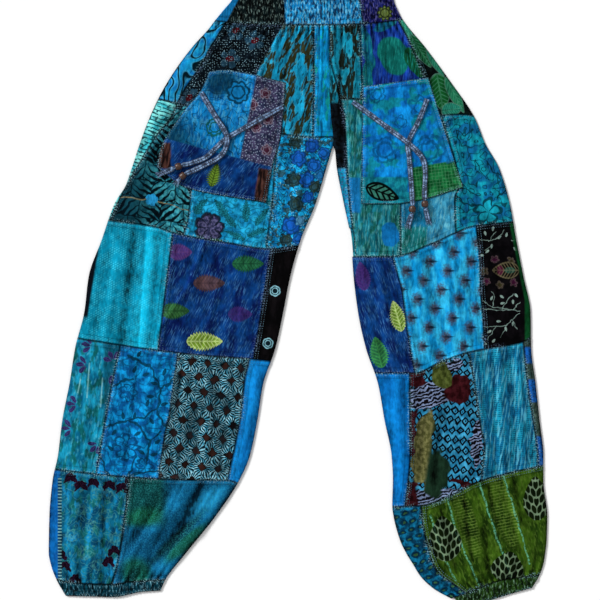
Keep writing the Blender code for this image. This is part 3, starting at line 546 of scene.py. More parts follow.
def stripMesh(name, line, runs, beadRun, seed):
    # a folded strip sewn down its middle, drawn narrow through its bead
    tangents = np.gradient(line, axis=0)
    tangents /= np.linalg.norm(tangents, axis=1)[:, None]
    acrossWay = np.stack([-tangents[:, 1], tangents[:, 0], np.zeros(len(line))], axis=1)
    acrossWay /= np.linalg.norm(acrossWay, axis=1)[:, None]
    upWay = np.cross(tangents, acrossWay)
    upWay *= np.sign(upWay[:, 2])[:, None]
    lean = tieMake["lean"] * softNoise(runs, runs * 0, 26, seed)
    near = 1 - smooth((np.abs(runs - beadRun) / mm - 4.4) / 5.0)
    width = (tieMake["widthShare"] + 0.08 * softNoise(runs, runs * 0 + 0.1, 9, seed + 1)) * (1 - near)
    width = width + tieMake["widthInBead"] * near
    height = (1 + 0.12 * softNoise(runs, runs * 0 + 0.2, 5, seed + 2)) * (1 - near)
    height = height + tieMake["heightInBead"] * near
    vertices, faces = [], []
    count = len(stripSection)
    for i in range(len(line)):
        c, s = math.cos(lean[i]), math.sin(lean[i])
        for across, up in stripSection:
            a, b = across * width[i] * mm, up * height[i] * mm
            vertices.append(line[i] + acrossWay[i] * (a * c - b * s) + upWay[i] * (a * s + b * c))
    for i in range(len(line) - 1):
        for j in range(count):
            k = (j + 1) % count
            faces.append((i * count + j, i * count + k, (i + 1) * count + k, (i + 1) * count + j))
    faces.append(tuple(range(count - 1, -1, -1)))
    faces.append(tuple(range((len(line) - 1) * count, len(line) * count)))
    acrossStrip = [across for across, up in stripSection] * len(line)
    return withTieValues(meshFrom(name, vertices, faces), np.repeat(runs / mm, count), acrossStrip)


def pointValues(mesh, name, values):
    mesh.attributes.new(name, "FLOAT", "POINT").data.foreach_set("value", np.array(values, dtype=np.float32))


def withTieValues(mesh, along, across):
    # each point's place on the strip in millimetres, for its print
    pointValues(mesh, "tieAlong", along)
    pointValues(mesh, "tieAcross", across)
    return mesh


def tubeInto(vertices, faces, path, radii, sides=6):
    # adds a round tube through the path, closed at both ends
    path = np.array(path)
    tangents = np.gradient(path, axis=0)
    start = len(vertices)
    for point, tangent, radius in zip(path, tangents, radii):
        way = Vector(tangent).to_track_quat("Z", "Y")
        for turn in range(sides):
            angle = 2 * math.pi * turn / sides
            spot = Vector((radius * math.cos(angle), radius * math.sin(angle), 0))
            vertices.append(Vector(point) + way @ spot)
    for i in range(len(path) - 1):
        for j in range(sides):
            k = (j + 1) % sides
            a, b = start + i * sides, start + (i + 1) * sides
            faces.append((a + j, a + k, b + k, b + j))
    faces.append(tuple(start + j for j in range(sides - 1, -1, -1)))
    faces.append(tuple(start + (len(path) - 1) * sides + j for j in range(sides)))


def tieEndMesh(name, line, runs, beadRun, seed):
    # a knot under the bead, and the frayed threads of the loose end
    rng = np.random.default_rng(seed)
    vertices, faces = [], []
    knot = int(np.argmin(np.abs(runs - beadRun - tieMake["knotFromBead"] * mm)))
    tangents = np.gradient(line, axis=0)
    for turn, (tilt, radius) in enumerate(((0.5, 2.7), (-0.6, 2.5))):
        way = Vector(tangents[knot]).to_track_quat("Z", "Y")
        lean = Vector((math.sin(tilt), 0.2 * turn, math.cos(tilt))).to_track_quat("Z", "Y")
        ring = []
        for step in range(17):
            angle = 2 * math.pi * step / 16
            spot = Vector((radius * mm * math.cos(angle), radius * mm * 0.85 * math.sin(angle), 0))
            ring.append(Vector(line[knot + turn]) + way @ (lean @ spot))
        tubeInto(vertices, faces, ring, [tieMake["knotThread"] * mm] * len(ring), sides=8)
    end = Vector(line[-1])
    way = Vector(tangents[-1]).normalized()
    across = Vector((-way.y, way.x, 0)).normalized()
    floor = float(clothTop(line[-1:, 0], line[-1:, 1], 0.003)[0])
    for thread in range(tieMake["threads"]):
        spread = (thread / (tieMake["threads"] - 1) - 0.5) * 2
        start = end + across * spread * tieMake["fringe"] * mm - way * mm
        length = tieMake["threadLength"] * mm * rng.uniform(0.5, 1.0)
        path = []
        for step in range(7):
            t = step / 6
            sway = across * (spread * 2.2 + rng.uniform(-0.5, 0.5)) * mm * t
            point = start + way * length * t + sway
            point.z = start.z * (1 - t) + (floor + 1.3 * mm + rng.uniform(0, 0.8) * mm) * t
            path.append(point)
        tubeInto(vertices, faces, path, [tieMake["threadWidth"] * mm * (1 - 0.5 * k / 6) for k in range(7)])
    order = np.arange(len(vertices))
    return withTieValues(meshFrom(name, vertices, faces), order * 0.07, 1.2 + order % 8 * 0.15)


def beadMesh(name, place, direction):
    bore, outer = beadMake["bore"] * mm / 2, beadMake["width"] * mm / 2
    half, lip = beadMake["length"] * mm / 2, bore + beadMake["lip"] * mm
    profile = [(bore, -half * 0.94), (bore, half * 0.94), (bore + 0.2 * mm, half * 0.99), (lip, half)]
    for ring in range(1, beadMake["rings"]):
        angle = math.pi * ring / beadMake["rings"]
        profile.append((lip + (outer - lip) * math.sin(angle) ** 0.7, half * math.cos(angle)))
    profile += [(lip, -half), (bore + 0.2 * mm, -half * 0.99)]
    way = Vector(direction).to_track_quat("Z", "Y")
    turns, count = beadMake["turns"], len(profile)
    vertices, faces = [], []
    for turn in range(turns):
        angle = 2 * math.pi * turn / turns
        for radius, along in profile:
            spot = Vector((radius * math.cos(angle), radius * math.sin(angle), along))
            vertices.append(Vector(place) + way @ spot)
    for turn in range(turns):
        nextTurn = (turn + 1) % turns
        for j in range(count):
            k = (j + 1) % count
            faces.append((turn * count + j, nextTurn * count + j, nextTurn * count + k, turn * count + k))
    return meshFrom(name, vertices, faces)


tiePieces = []
for index, tie in enumerate(ties):
    line, runs, beadRun = tieLine(tie)
    strip = addObject(tie.piece, stripMesh(tie.piece, toFrame(line), runs, beadRun, 40 + index), None)
    low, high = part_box(nodeName(tie.bead))
    at = int(np.argmin(np.abs(runs - beadRun)))
    direction = line[at + 3] - line[at - 3]
    direction[2] = 0
    bead = addObject(tie.bead, beadMesh(tie.bead, (low + high) / 2, direction), None)
    tailName = tie.piece + "Tail"
    tail = addObject(tailName, tieEndMesh(tailName, toFrame(line), runs, beadRun, index), None)
    for piece in (strip, bead, tail):
        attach(piece, "root")
    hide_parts(nodeName(tie.piece))
    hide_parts(nodeName(tie.bead))
    nodeName(tie.piece)
    nodeName(tie.piece)
    nodeName(tie.bead)
    path = toFrame(line)
    length = float(np.sum(np.linalg.norm(np.diff(path, axis=0), axis=1)))
    tiePieces.append((strip, bead, tail))
    print(f"{tie.piece}: {length * 1000:.0f} mm")


# patches of the front, the bands, the pockets and the back
Patch = namedtuple("Patch", "piece left right top bottom gathers columns")


def patchRow(name, kinds, edges, ends, gathers="none", columns=(0, 0, 0, 0)):
    # a row of patches: their names, the edges beside them, the seams over and under, and their pleats
    edges = edges.split()
    return [Patch(name + kind, edges[i], edges[i + 1], *ends.split(), gathers, columns[i])
            for i, kind in enumerate(kinds.split(" "))]


patches = (
    patchRow("leftHip", "Scroll Dotted Camo Centre", "leftOuter scrollEdge dottedEdge leftCamoEdge leftInner",
             "waistSeam leftHipSeam", "waist", (4, 18, 12, 6))
    + patchRow("leftThigh", "Striped Leafy Fern Blooms", "leftOuter stripedEdge leafyEdge fernEdge leftInner",
               "leftHipSeam leftThighSeam")
    + patchRow("leftKnee", "Turquoise Navy Black", "leftOuter turquoiseEdge leftNavyEdge leftInner",
               "leftThighSeam leftKneeSeam")
    + patchRow("leftCalf", "Teal Vine Hatched Blue", "leftOuter tealEdge vineEdge hatchedEdge leftInner",
               "leftKneeSeam leftCalfSeam")
    + patchRow("leftShin", "Tulip Green", "leftOuter leftShinEdge leftInner",
               "leftCalfSeam leftHem", "hem", (10, 14))
    + patchRow("rightHip", "Camo Navy Leaves", "gussetEdge rightCamoEdge rightLeafEdge rightOuter",
               "waistSeam rightHipSeam", "waist", (10, 14, 6))
    + patchRow("rightGusset", "Black", "rightInner gussetEdge", "gussetTop gussetJoin")
    + patchRow("rightGusset", "Blue", "rightInner gussetEdge", "gussetJoin gussetEnd")
    + patchRow("rightThigh", "Wash Green Outline", "gussetEdge washEdge outlineEdge rightOuter",
               "rightHipSeam rightThighSeam")
    + patchRow("rightKnee", "Navy Spotted Black", "rightInner rightNavyEdge spottedEdge rightOuter",
               "rightThighSeam rightKneeSeam")
    + patchRow("rightCalf", "Plain Net Grid Side", "rightInner plainEdge netEdge sideStripEdge rightOuter",
               "rightKneeSeam rightCalfSeam")
    + patchRow("rightShin", "Spots Olive", "rightInner rightShinEdge rightOuter",
               "rightCalfSeam rightHem", "hem", (6, 24)))
bands = (
    patchRow("waistband", "Dark Light Navy", "leftOuter bandDarkEdge bandNavyEdge rightOuter",
             "waistTop waistSeam", "waist")
    + patchRow("leftCuff", "Front", "leftOuter leftInner", "leftHem leftEnd", "hem")
    + patchRow("rightCuff", "Front", "rightCuffInner rightOuter", "rightHem rightEnd", "hem"))
pockets = [Patch(leg + "Pocket", *edges, "none", 0) for leg, edges in zip(("left", "right"), pocketEdges)]
backs = []
for leg, edges in (("left", "leftOuter leftInner"), ("right", "rightInner rightOuter")):
    seams = ["waistSeam"] + [leg + name for name in ("ThighSeam", "KneeSeam", "CalfSeam", "Hem")]
    for kind, top, bottom in zip(("Hip", "Knee", "Calf", "Shin"), seams, seams[1:]):
        backs += patchRow(leg + "Back", kind, edges, f"{top} {bottom}")
backs += patchRow("leftCuff", "Back", "leftOuter leftInner", "leftHem leftEnd", "hem")
backs += patchRow("rightCuff", "Back", "rightCuffInner rightOuter", "rightHem rightEnd", "hem")
backs += patchRow("waistband", "Back", "leftOuter rightOuter", "waistTop waistSeam", "waist")
gather = {
    "waist": {"rise": 2.7, "reach": 84.0, "fineRise": 1.3, "finePitch": 5.0, "fineReach": 46.0},
    "hem": {"rise": 2.3, "reach": 60.0, "fineRise": 0.6, "finePitch": 4.4, "fineReach": 26.0},
}
bandMake = {
    "waist": {"shirring": 22.0, "puff": 1.5, "pitch": 4.3, "pinch": 0.12},
    "hem": {"shirring": 12.0, "puff": 1.5, "pitch": 5.2, "pinch": 0.2},
}
backMake = {"rise": 0.12, "seamRise": 0.3, "seamWidth": 1.2, "shell": 0.9, "bandPuff": 0.45,
            "bandPitch": 5.4}


def settle(patch, across, down):
    # points at shares across and down a patch between its two sides and its two seams
    left, right = side[patch.left], side[patch.right]
    top, bottom = seam[patch.top], seam[patch.bottom]
    gap = cloth["seamHalfGap"] * mm
    x = np.full(across.shape, float(np.mean([left(top(0.0)), right(bottom(0.0))])))
    y = (top(x) + bottom(x)) / 2
    for _ in range(40):
        low, high = left(y) + gap, right(y) - gap
        x = 0.5 * x + 0.5 * (low + (high - low) * across)
        high, low = top(x) - gap, bottom(x) + gap
        y = 0.5 * y + 0.5 * (high + (low - high) * down)
    return x, y


def patchSize(patch):
    x, y = settle(patch, np.array([[0, 0.5, 1.0]] * 3), np.array([[0.0] * 3, [0.5] * 3, [1.0] * 3]))
    width = float(np.mean(np.hypot(x[:, 2] - x[:, 0], y[:, 2] - y[:, 0])))
    length = float(np.mean(np.hypot(x[2] - x[0], y[2] - y[0])))
    return width / mm, length / mm


def shareLines(length, cell, near=(0.45, 1.3, 2.6, 4.2)):
    # even shares, with closer ones beside the two edges
    count = max(2, round(length / cell))
    if length < near[-1] * 3:
        return np.linspace(0, 1, count + 1)
    edge = near[-1] * 1.2
    lines = [line for line in np.linspace(0, 1, count + 1) if edge < line * length < length - edge]
    lines += [0, 1] + [step / length for step in near] + [1 - step / length for step in near]
    return np.array(sorted(lines))


def edgeDistances(patch, x, y, across, down):
    # millimetres to each stitched edge of the patch, far away where the edge is a fold
    width = np.hypot(x[:, -1] - x[:, 0], y[:, -1] - y[:, 0])[:, None] / mm
    length = np.hypot(x[-1] - x[0], y[-1] - y[0])[None, :] / mm
    far = np.full(x.shape, 999.0)
    toLeft = far if patch.left in foldedEdges else across * width
    toRight = far if patch.right in foldedEdges else (1 - across) * width
    return toLeft, toRight, down * length, (1 - down) * length, down * length, across * width


def blurred(z, times):
    for _ in range(times):
        tall = np.pad(z, ((1, 1), (0, 0)), mode="edge")
        z = (tall[:-2] + 2 * z + tall[2:]) / 4
        wide = np.pad(z, ((0, 0), (1, 1)), mode="edge")
        z = (wide[:, :-2] + 2 * z + wide[:, 2:]) / 4
    return z


def crinkle(x, y, seed):
    # small uneven creases, longer down the leg than across it
    lean = x + y * np.where(x < crotchAcross, -0.22, 0.2)
    soft = softNoise(lean, y / 2.1, 12, seed) * 0.3 + softNoise(lean, y / 1.8, 5.5, seed + 1) * 0.17
    return (soft + softNoise(lean, y, 2.9, seed + 2) * 0.06) * cloth["crinkle"] * mm


def pleats(patch, x, y, across):
    # the solid's pleats, rounded, with finer ones between them close to the elastic
    if patch.gathers == "none":
        return 0
    make = gather[patch.gathers]
    if patch.gathers == "waist":
        fromBand = (seam["waistSeam"](x) - y) / mm
    else:
        fromBand = (y - seam[patch.bottom](x)) / mm
    column = across * patch.columns
    odd = 2 * np.floor(column / 2) + 1
    uneven = 0.72 + 0.28 * np.sin(odd * 2.3 + len(nodeName(patch.piece)))
    fade = (1 - np.clip(fromBand / (make["reach"] * uneven), 0, 1)) ** 1.4
    spacing = (x[:, -1] - x[:, 0])[:, None] / mm / patch.columns
    rise = np.minimum(make["rise"], 0.55 * spacing) * fade * np.sin(math.pi * column / 2) ** 2
    wander = softNoise(x, y / 3, 14, len(patch.piece)) * 2.2
    fine = 0.5 + 0.5 * np.sin(2 * math.pi * x / mm / make["finePitch"] + wander)
    fineFade = (1 - np.clip(fromBand / make["fineReach"], 0, 1)) ** 1.2
    return (rise + make["fineRise"] * fine * fineFade) * mm


def weltRelief(patch, distances, x, y, welted=("left", "top")):
    # felled seams: a low double-stitched ridge on one side, a ditch at the join, puckers along both
    toLeft, toRight, toTop, toBottom, runDown, runAcross = distances
    relief = np.zeros_like(x)
    banded = {"top": patch.top == "waistSeam", "bottom": patch.bottom in ("leftHem", "rightHem")}
    upright = [("left", toLeft, runDown), ("right", toRight, runDown)]
    for name, distance, run in upright + [("top", toTop, runAcross), ("bottom", toBottom, runAcross)]:
        relief = relief - cloth["ditch"] * np.exp(-((distance / cloth["ditchWidth"]) ** 2))
        if banded.get(name):
            continue
        phase = softNoise(x, y, 17, 5) * 2.5 + 2 * math.pi * run / cloth["puckerPitch"]
        relief = relief + cloth["pucker"] * np.cos(phase) * np.exp(-distance / 7.0) * smooth(distance / 1.5)
        if name in welted:
            relief = relief + cloth["welt"] * smooth((cloth["weltWidth"] - distance) / 1.5)
            for row in cloth["stitchRows"]:
                relief = relief - 0.22 * np.exp(-(((distance - row) / 0.55) ** 2))
    return relief * mm


def shellMesh(name, x, y, z, thickness, upward=True):
    # a closed thin shell: the shown side, the hidden side a thickness behind it, and the rim
    points = np.stack([x, y, z], axis=-1)
    alongRows = np.gradient(points, axis=0)
    alongColumns = np.gradient(points, axis=1)
    normal = np.cross(alongRows, alongColumns)
    normal /= np.maximum(np.linalg.norm(normal, axis=-1), 1e-12)[..., None]
    hidden = points - normal * thickness
    if not upward:
        hidden = points + normal * thickness
    rows, columns = x.shape
    index = np.arange(rows * columns).reshape(rows, columns)
    quads = np.stack([index[:-1, :-1], index[1:, :-1], index[1:, 1:], index[:-1, 1:]], axis=-1).reshape(-1, 4)
    below = quads[:, ::-1] + rows * columns
    border = np.concatenate([index[:, 0], index[-1, 1:], index[::-1, -1][1:], index[0, ::-1][1:-1]])
    following = np.roll(border, -1)
    rim = np.stack([following, border, border + rows * columns, following + rows * columns], axis=-1)
    faces = np.concatenate([quads, below, rim])
    if not upward:
        faces = faces[:, ::-1]
    vertices = toFrame(np.concatenate([points.reshape(-1, 3), hidden.reshape(-1, 3)]))
    mesh = meshFrom(name, vertices, faces.tolist())
    u, v = np.meshgrid(np.linspace(0.004, 0.996, columns), np.linspace(0.996, 0.1, rows))
    shownUv = np.stack([u, v], axis=-1).reshape(-1, 2)
    hiddenUv = shownUv * (1, 0.08)
    loops = np.array([loop.vertex_index for loop in mesh.loops])
    table = np.concatenate([shownUv, hiddenUv])[loops]
    rimLoops = np.arange(len(loops)) >= (len(quads) + len(below)) * 4
    table[rimLoops, 1] = np.where(loops[rimLoops] < rows * columns, 0.09, 0.085)
    mesh.uv_layers.new(name="OFBake").data.foreach_set("uv", table.ravel().astype(np.float32))
    return mesh


def addValues(mesh, name, values):
    pointValues(mesh, name, np.concatenate([values.ravel(), values.ravel()]))


lipProfile = ((0.34, 0.22), (0.6, 0.8), (0.6, 1.5), (0.3, 2.15))  # out and down from a folded edge


def withLips(patch, arrays, x, y, z):
    # curls the cloth down round the garment's folded edges
    def extended(lips, before):
        stack = [np.concatenate([lip[:, ::-1], values] if before else [values, lip], axis=1)
                 for lip, values in zip(lips, (x, y, z))]
        more = [np.repeat(a[:, :1] if before else a[:, -1:], len(lipProfile), axis=1) for a in arrays]
        joined = [np.concatenate([m, a] if before else [a, m], axis=1) for m, a in zip(more, arrays)]
        return stack, joined

    for edge, outward in ((patch.left, "left"), (patch.right, "right")):
        if edge not in foldedEdges:
            continue
        at = 0 if outward == "left" else -1
        edgeX, edgeY, edgeZ = x[:, at], y[:, at], z[:, at]
        wayX, wayY = np.gradient(edgeX), np.gradient(edgeY)
        size = np.hypot(wayX, wayY)
        outX, outY = wayY / size, -wayX / size
        if outward == "right":
            outX, outY = -outX, -outY
        lips = [np.stack([edgeX + out * mm * outX for out, down in lipProfile], axis=1),
                np.stack([edgeY + out * mm * outY for out, down in lipProfile], axis=1),
                np.stack([edgeZ - down * mm * (edgeZ / (2.8 * mm)) for out, down in lipProfile], axis=1)]
        (x, y, z), arrays = extended(lips, outward == "left")
    return x, y, z, arrays


grids = {}  # each piece's points, for what is sewn on it
sheetPieces = []


def finishSheet(patch, x, y, z, nearSeam, runSeam, thickness, upward=True):
    # the cloth's relief at two sizes; the cloth's colour uses it for painted light on crests and painted
    # shade in troughs
    near, wide = (z - blurred(z, 10)) / (0.35 * mm), (z - blurred(z, 90)) / (0.9 * mm)
    crest = 0.6 * np.clip(near, -3, 3) + 0.6 * np.clip(wide, -3, 3)
    grids[patch.piece] = (x, y, z)
    if upward:
        x, y, z, (nearSeam, runSeam, crest) = withLips(patch, [nearSeam, runSeam, crest], x, y, z)
    mesh = shellMesh(patch.piece, x, y, z, thickness * mm, upward)
    addValues(mesh, "seamNear", np.minimum(nearSeam, 40))
    addValues(mesh, "seamRun", runSeam)
    addValues(mesh, "crest", crest)
    made = addObject(patch.piece, mesh, None)
    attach(made, "root")
    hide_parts(nodeName(patch.piece))
    nodeName(patch.piece)
    sheetPieces.append((patch, made))
    return made


def nearest(distances):
    toLeft, toRight, toTop, toBottom, runDown, runAcross = distances
    sides, ends = np.minimum(toLeft, toRight), np.minimum(toTop, toBottom)
    return np.minimum(sides, ends), np.where(sides < ends, runDown, runAcross)


def makePatch(patch, seed):
    width, length = patchSize(patch)
    if patch.columns:
        lines = np.linspace(0, 1, patch.columns * cloth["gatherCells"] + 1)
    else:
        lines = shareLines(width, cloth["cell"])
    across, down = np.meshgrid(lines, shareLines(length, cloth["rowCell"]))
    x, y = settle(patch, across, down)
    distances = edgeDistances(patch, x, y, across, down)
    free = freeShare(x, y)
    z = lie(x, y) + cloth["wall"] * mm * stretchOf(x, y) + pleats(patch, x, y, across)
    z = z + (foldRise(x, y, fineCreases) + crinkle(x, y, seed)) * np.minimum(free * 1.3, 1)
    z = z + weltRelief(patch, distances, x, y)
    near, run = nearest(distances)
    finishSheet(patch, x, y, z, near, run, cloth["shell"])


def makeBand(patch, seed):
    make = bandMake[patch.gathers]
    width, length = patchSize(patch)
    columnCount, rowCount = round(width / 0.9), round(length / 1.6)
    across, down = np.meshgrid(np.linspace(0, 1, columnCount + 1), np.linspace(0, 1, rowCount + 1))
    x, y = settle(patch, across, down)
    row = (seam[patch.top](x) - y) / (make["shirring"] * mm)
    swell = make["pinch"] + (1 - make["pinch"]) * np.abs(np.sin(math.pi * row)) ** 0.7
    shift = np.sin(np.floor(row) * 5.1) * 1.4 + softNoise(x, y / 2, 11, seed) * 1.5
    ridge = 0.5 + 0.5 * np.sin(2 * math.pi * x / mm / make["pitch"] + shift)
    ridge = ridge * (0.75 + 0.25 * softNoise(x, y, 6, seed + 1))
    z = frontBase + (cloth["wall"] + make["puff"] * (0.25 + 0.75 * ridge) * swell) * mm
    z = z - 0.25 * mm * np.exp(-((np.abs(row - np.round(row)) * make["shirring"] / 0.9) ** 2))
    z = z + crinkle(x, y, seed + 2) * 0.5
    distances = edgeDistances(patch, x, y, across, down)
    near, run = nearest(distances)
    finishSheet(patch, x, y, z, near, run, cloth["shell"])


def makePocket(patch, seed):
    width, length = patchSize(patch)
    across, down = np.meshgrid(shareLines(width, cloth["cell"]), shareLines(length, cloth["rowCell"]))
    x, y = settle(patch, across, down)
    distances = edgeDistances(patch, x, y, across, down)
    near, run = nearest(distances)
    z = pocketInside(x, y) + cloth["wall"] * mm * stretchOf(x, y) + crinkle(x, y, seed)
    welts = weltRelief(patch, distances, x, y, ("left", "right", "top", "bottom"))
    z = z - pocketMake["edgeSink"] * mm * np.exp(-((near / pocketMake["edgeWidth"]) ** 2)) + welts
    middle = np.exp(-(((across - 0.5) / 0.3) ** 2))
    z = z + pocketMake["mouthRise"] * mm * middle * np.exp(-distances[2] / pocketMake["mouthFade"])
    finishSheet(patch, x, y, z, near, run, cloth["shell"])


def makeBack(patch, seed):
    # the shown side is the one underneath, flat on the table but for the ditches at its seams
    width, length = patchSize(patch)
    banded = patch.gathers != "none"
    cell = 1.8 if banded else cloth["backCell"]
    columnCount = round(width / (1.6 if banded else cell))
    across, down = np.meshgrid(np.linspace(0, 1, columnCount + 1), shareLines(length, cell))
    x, y = settle(patch, across, down)
    inset = (cloth["backInset"] * mm) * (1 - 2 * across)
    folded = np.where(across < 0.5, patch.left in foldedEdges, patch.right in foldedEdges)
    x = x + inset * folded * (np.abs(1 - 2 * across) > 0.98)
    distances = edgeDistances(patch, x, y, across, down)
    near, run = nearest(distances)
    besideSeam = np.exp(-((near / backMake["seamWidth"]) ** 2))
    z = backMake["rise"] * mm + backMake["seamRise"] * mm * besideSeam + 0.05 * mm * softNoise(x, y, 9, seed)
    if banded:
        row = (seam[patch.top](x) - y) / (bandMake[patch.gathers]["shirring"] * mm)
        shift = softNoise(x, y / 2, 11, seed) * 1.5
        ridge = 0.5 + 0.5 * np.sin(2 * math.pi * x / mm / backMake["bandPitch"] + shift)
        z = z + backMake["bandPuff"] * mm * ridge * (1 - 0.4 * np.abs(np.sin(math.pi * row)))
    finishSheet(patch, x, y, z, near, run, backMake["shell"], upward=False)


for index, patch in enumerate(patches):
    makePatch(patch, 100 + 7 * index)
for index, patch in enumerate(bands):
    makeBand(patch, 400 + 7 * index)
for index, patch in enumerate(pockets):
    makePocket(patch, 500 + 7 * index)
for index, patch in enumerate(backs):
    makeBack(patch, 600 + 7 * index)
print(f"{len(sheetPieces)} cloth pieces shaped")


def runLengths(x, y, z, axis):
    steps = [np.diff(values, axis=axis) for values in (x, y, z)]
    return float(np.sqrt(sum(step**2 for step in steps)).sum(axis=axis).max())


def declareSheet(patch):
    # the cut of what shows, measured along the shaped cloth
    x, y, z = grids[patch.piece]
    width, length = runLengths(x, y, z, 1), runLengths(x, y, z, 0)
    points = np.stack([x, y, z], axis=-1)
    sideways, downwards = np.diff(points, axis=1)[:-1], np.diff(points, axis=0)[:, :-1]
    area = float(np.linalg.norm(np.cross(sideways, downwards), axis=-1).sum())
    if patch in bands:
        width, area = width * bandFullness, area * bandFullness
    return width, length


bandFullness = 1.25
for patch, made in sheetPieces:
    width, length = declareSheet(patch)
    print(f"{patch.piece}: cut {width * 1000:.0f} x {length * 1000:.0f} mm")


def dye(code):
    # a colour as the shader takes it, from its six-digit code
    parts = [int(code[i:i + 2], 16) / 255 for i in (0, 2, 4)]
    return (*[c / 12.92 if c <= 0.04045 else ((c + 0.055) / 1.055) ** 2.4 for c in parts], 1)


groups = {}


class Wire:
    # short ways to place and join nodes in one tree
    def __init__(self, tree):
        self.tree = tree
        self.count = 0

    def add(self, kind, **settings):
        node = self.tree.nodes.new("ShaderNode" + kind)
        for name, value in settings.items():
            setattr(node, name, value)
        node.location = (self.count % 14 * 190, -(self.count // 14) * 280)
        self.count += 1
        return node

    def feed(self, socket, value):
        if isinstance(value, bpy.types.NodeSocket):
            self.tree.links.new(value, socket)
        elif isinstance(value, str):
            socket.default_value = dye(value)
        else:
            socket.default_value = value

    def fed(self, node, values):
        for socket, value in zip(node.inputs, values):
            self.feed(socket, value)
        return node.outputs

    def calc(self, operation, *values, clamp=False):
        return self.fed(self.add("Math", operation=operation, use_clamp=clamp), values)[0]

    times = partialmethod(calc, "MULTIPLY")
    timesPlus = partialmethod(calc, "MULTIPLY_ADD")
    plus = partialmethod(calc, "ADD")
    minus = partialmethod(calc, "SUBTRACT")
    size = partialmethod(calc, "ABSOLUTE")

    def shift(self, operation, *values):
        outputs = self.fed(self.add("VectorMath", operation=operation), values)
        return outputs["Value" if operation in ("LENGTH", "DOT_PRODUCT") else "Vector"]

    def scaled(self, vector, factor):
        node = self.add("VectorMath", operation="SCALE")
        self.feed(node.inputs[0], vector)
        self.feed(node.inputs["Scale"], factor)
        return node.outputs["Vector"]

    def between(self, value, low, high):
        # soft step, 0 at low and 1 at high
        node = self.add("MapRange", interpolation_type="SMOOTHSTEP")
        self.feed(node.inputs["Value"], value)
        self.feed(node.inputs["From Min"], low)
        self.feed(node.inputs["From Max"], high)
        return node.outputs["Result"]

    def blend(self, factor, a, b):
        node = self.add("Mix", data_type="RGBA")
        self.feed(node.inputs[0], factor)
        self.feed(node.inputs[6], a)
        self.feed(node.inputs[7], b)
        return node.outputs[2]

    def multiplied(self, colour, factor):
        node = self.add("Mix", data_type="RGBA", blend_type="MULTIPLY")
        node.inputs[0].default_value = 1.0
        self.feed(node.inputs[6], colour)
        self.feed(node.inputs[7], factor)
        return node.outputs[2]

    def paint(self, colour, mask, over, amount=1.0):
        if amount != 1.0:
            mask = self.times(mask, amount)
        return self.blend(mask, colour, over)

    def join(self, x, y, z=0.0):
        return self.fed(self.add("CombineXYZ"), (x, y, z))[0]

    def parts(self, vector):
        node = self.add("SeparateXYZ")
        self.feed(node.inputs[0], vector)
        return node.outputs["X"], node.outputs["Y"]

    def moved(self, place, centre=(0, 0, 0), turn=0.0, size=(1, 1, 1)):
        node = self.add("Mapping", vector_type="TEXTURE")
        self.feed(node.inputs["Vector"], place)
        self.feed(node.inputs["Location"], centre)
        turned = self.join(0.0, 0.0, turn) if isinstance(turn, bpy.types.NodeSocket) else (0, 0, turn)
        self.feed(node.inputs["Rotation"], turned)
        self.feed(node.inputs["Scale"], size)
        return node.outputs[0]

    def noise(self, place, size, detail=2.0, output=0):
        node = self.add("TexNoise", noise_dimensions="2D")
        self.feed(node.inputs["Vector"], place)
        self.feed(node.inputs["Scale"], 1.0 / size)
        self.feed(node.inputs["Detail"], detail)
        return node.outputs[output]

    def warp(self, place, size, amount):
        # lets a drawn shape wander as if brushed by hand
        off = self.shift("SUBTRACT", self.noise(place, size, 1.0, 1), (0.5, 0.5, 0.5))
        return self.shift("MULTIPLY_ADD", off, (amount, amount, 0), place)

    def attribute(self, name):
        return self.add("Attribute", attribute_name=name).outputs["Fac"]

    def use(self, group, **values):
        node = self.add("Group", node_tree=groups[group])
        for label, value in values.items():
            self.feed(node.inputs[label], value)
        return node.outputs

    def most(self, *masks):
        found = masks[0]
        for mask in masks[1:]:
            found = self.calc("MAXIMUM", found, mask)
        return found

    def box(self, place, low, high, soft=1.2):
        # 1 inside an upright rectangle of the drawing
        x, y = self.parts(place)
        sides = []
        for at, first, last in ((x, low[0], high[0]), (y, low[1], high[1])):
            sides.append(self.between(at, first - soft, first + soft))
            sides.append(self.between(at, last + soft, last - soft))
        return self.times(self.times(*sides[:2]), self.times(*sides[2:]))

    def oval(self, place, centre, width, height, turn=0.0, soft=0.08):
        inside = self.shift("LENGTH", self.moved(place, (*centre, 0), turn, (width / 2, height / 2, 1)))
        return self.between(inside, 1 + soft, 1 - soft)

    def wash(self, place, dark, light, size, stretch=1.0, turn=0.0, edge=0.14, level=0.5):
        # two dyes that run into each other
        patchy = self.use("blotches", Place=place, Size=size, Level=level, Edge=edge, Turn=turn,
                          Stretch=stretch)
        return self.blend(patchy["Inside"], dark, light)

    def leaf(self, place, centre, length, width, turn=0.0, teeth=0.0):
        return self.use("leafShape", Place=place, Centre=(*centre, 0), Length=length, Width=width, Turn=turn,
                        Teeth=teeth)

    def flower(self, place, centre, radius, petals=5.0, notch=0.3, turn=0.0):
        return self.use("flowerShape", Place=place, Centre=(*centre, 0), Radius=radius, Petals=petals,
                        Notch=notch, Turn=turn)

    def strokes(self, place, lines, width):
        masks = []
        for line in lines:
            for start, end in zip(line, line[1:]):
                made = self.use("stroke", Place=place, From=(*start, 0), To=(*end, 0), Width=width)
                masks.append(made["Mask"])
        return self.most(*masks)


def startGroup(name, takes, gives):
    kinds = {"v": "NodeSocketVector", "f": "NodeSocketFloat", "c": "NodeSocketColor"}
    tree = bpy.data.node_groups.new(name, "ShaderNodeTree")
    for direction, labels in (("INPUT", takes), ("OUTPUT", gives)):
        for part in labels.split():
            label, kind = part.split(":")
            tree.interface.new_socket(label, in_out=direction, socket_type=kinds[kind])
    groups[name] = tree
    return Wire(tree), tree.nodes.new("NodeGroupInput").outputs, tree.nodes.new("NodeGroupOutput").inputs


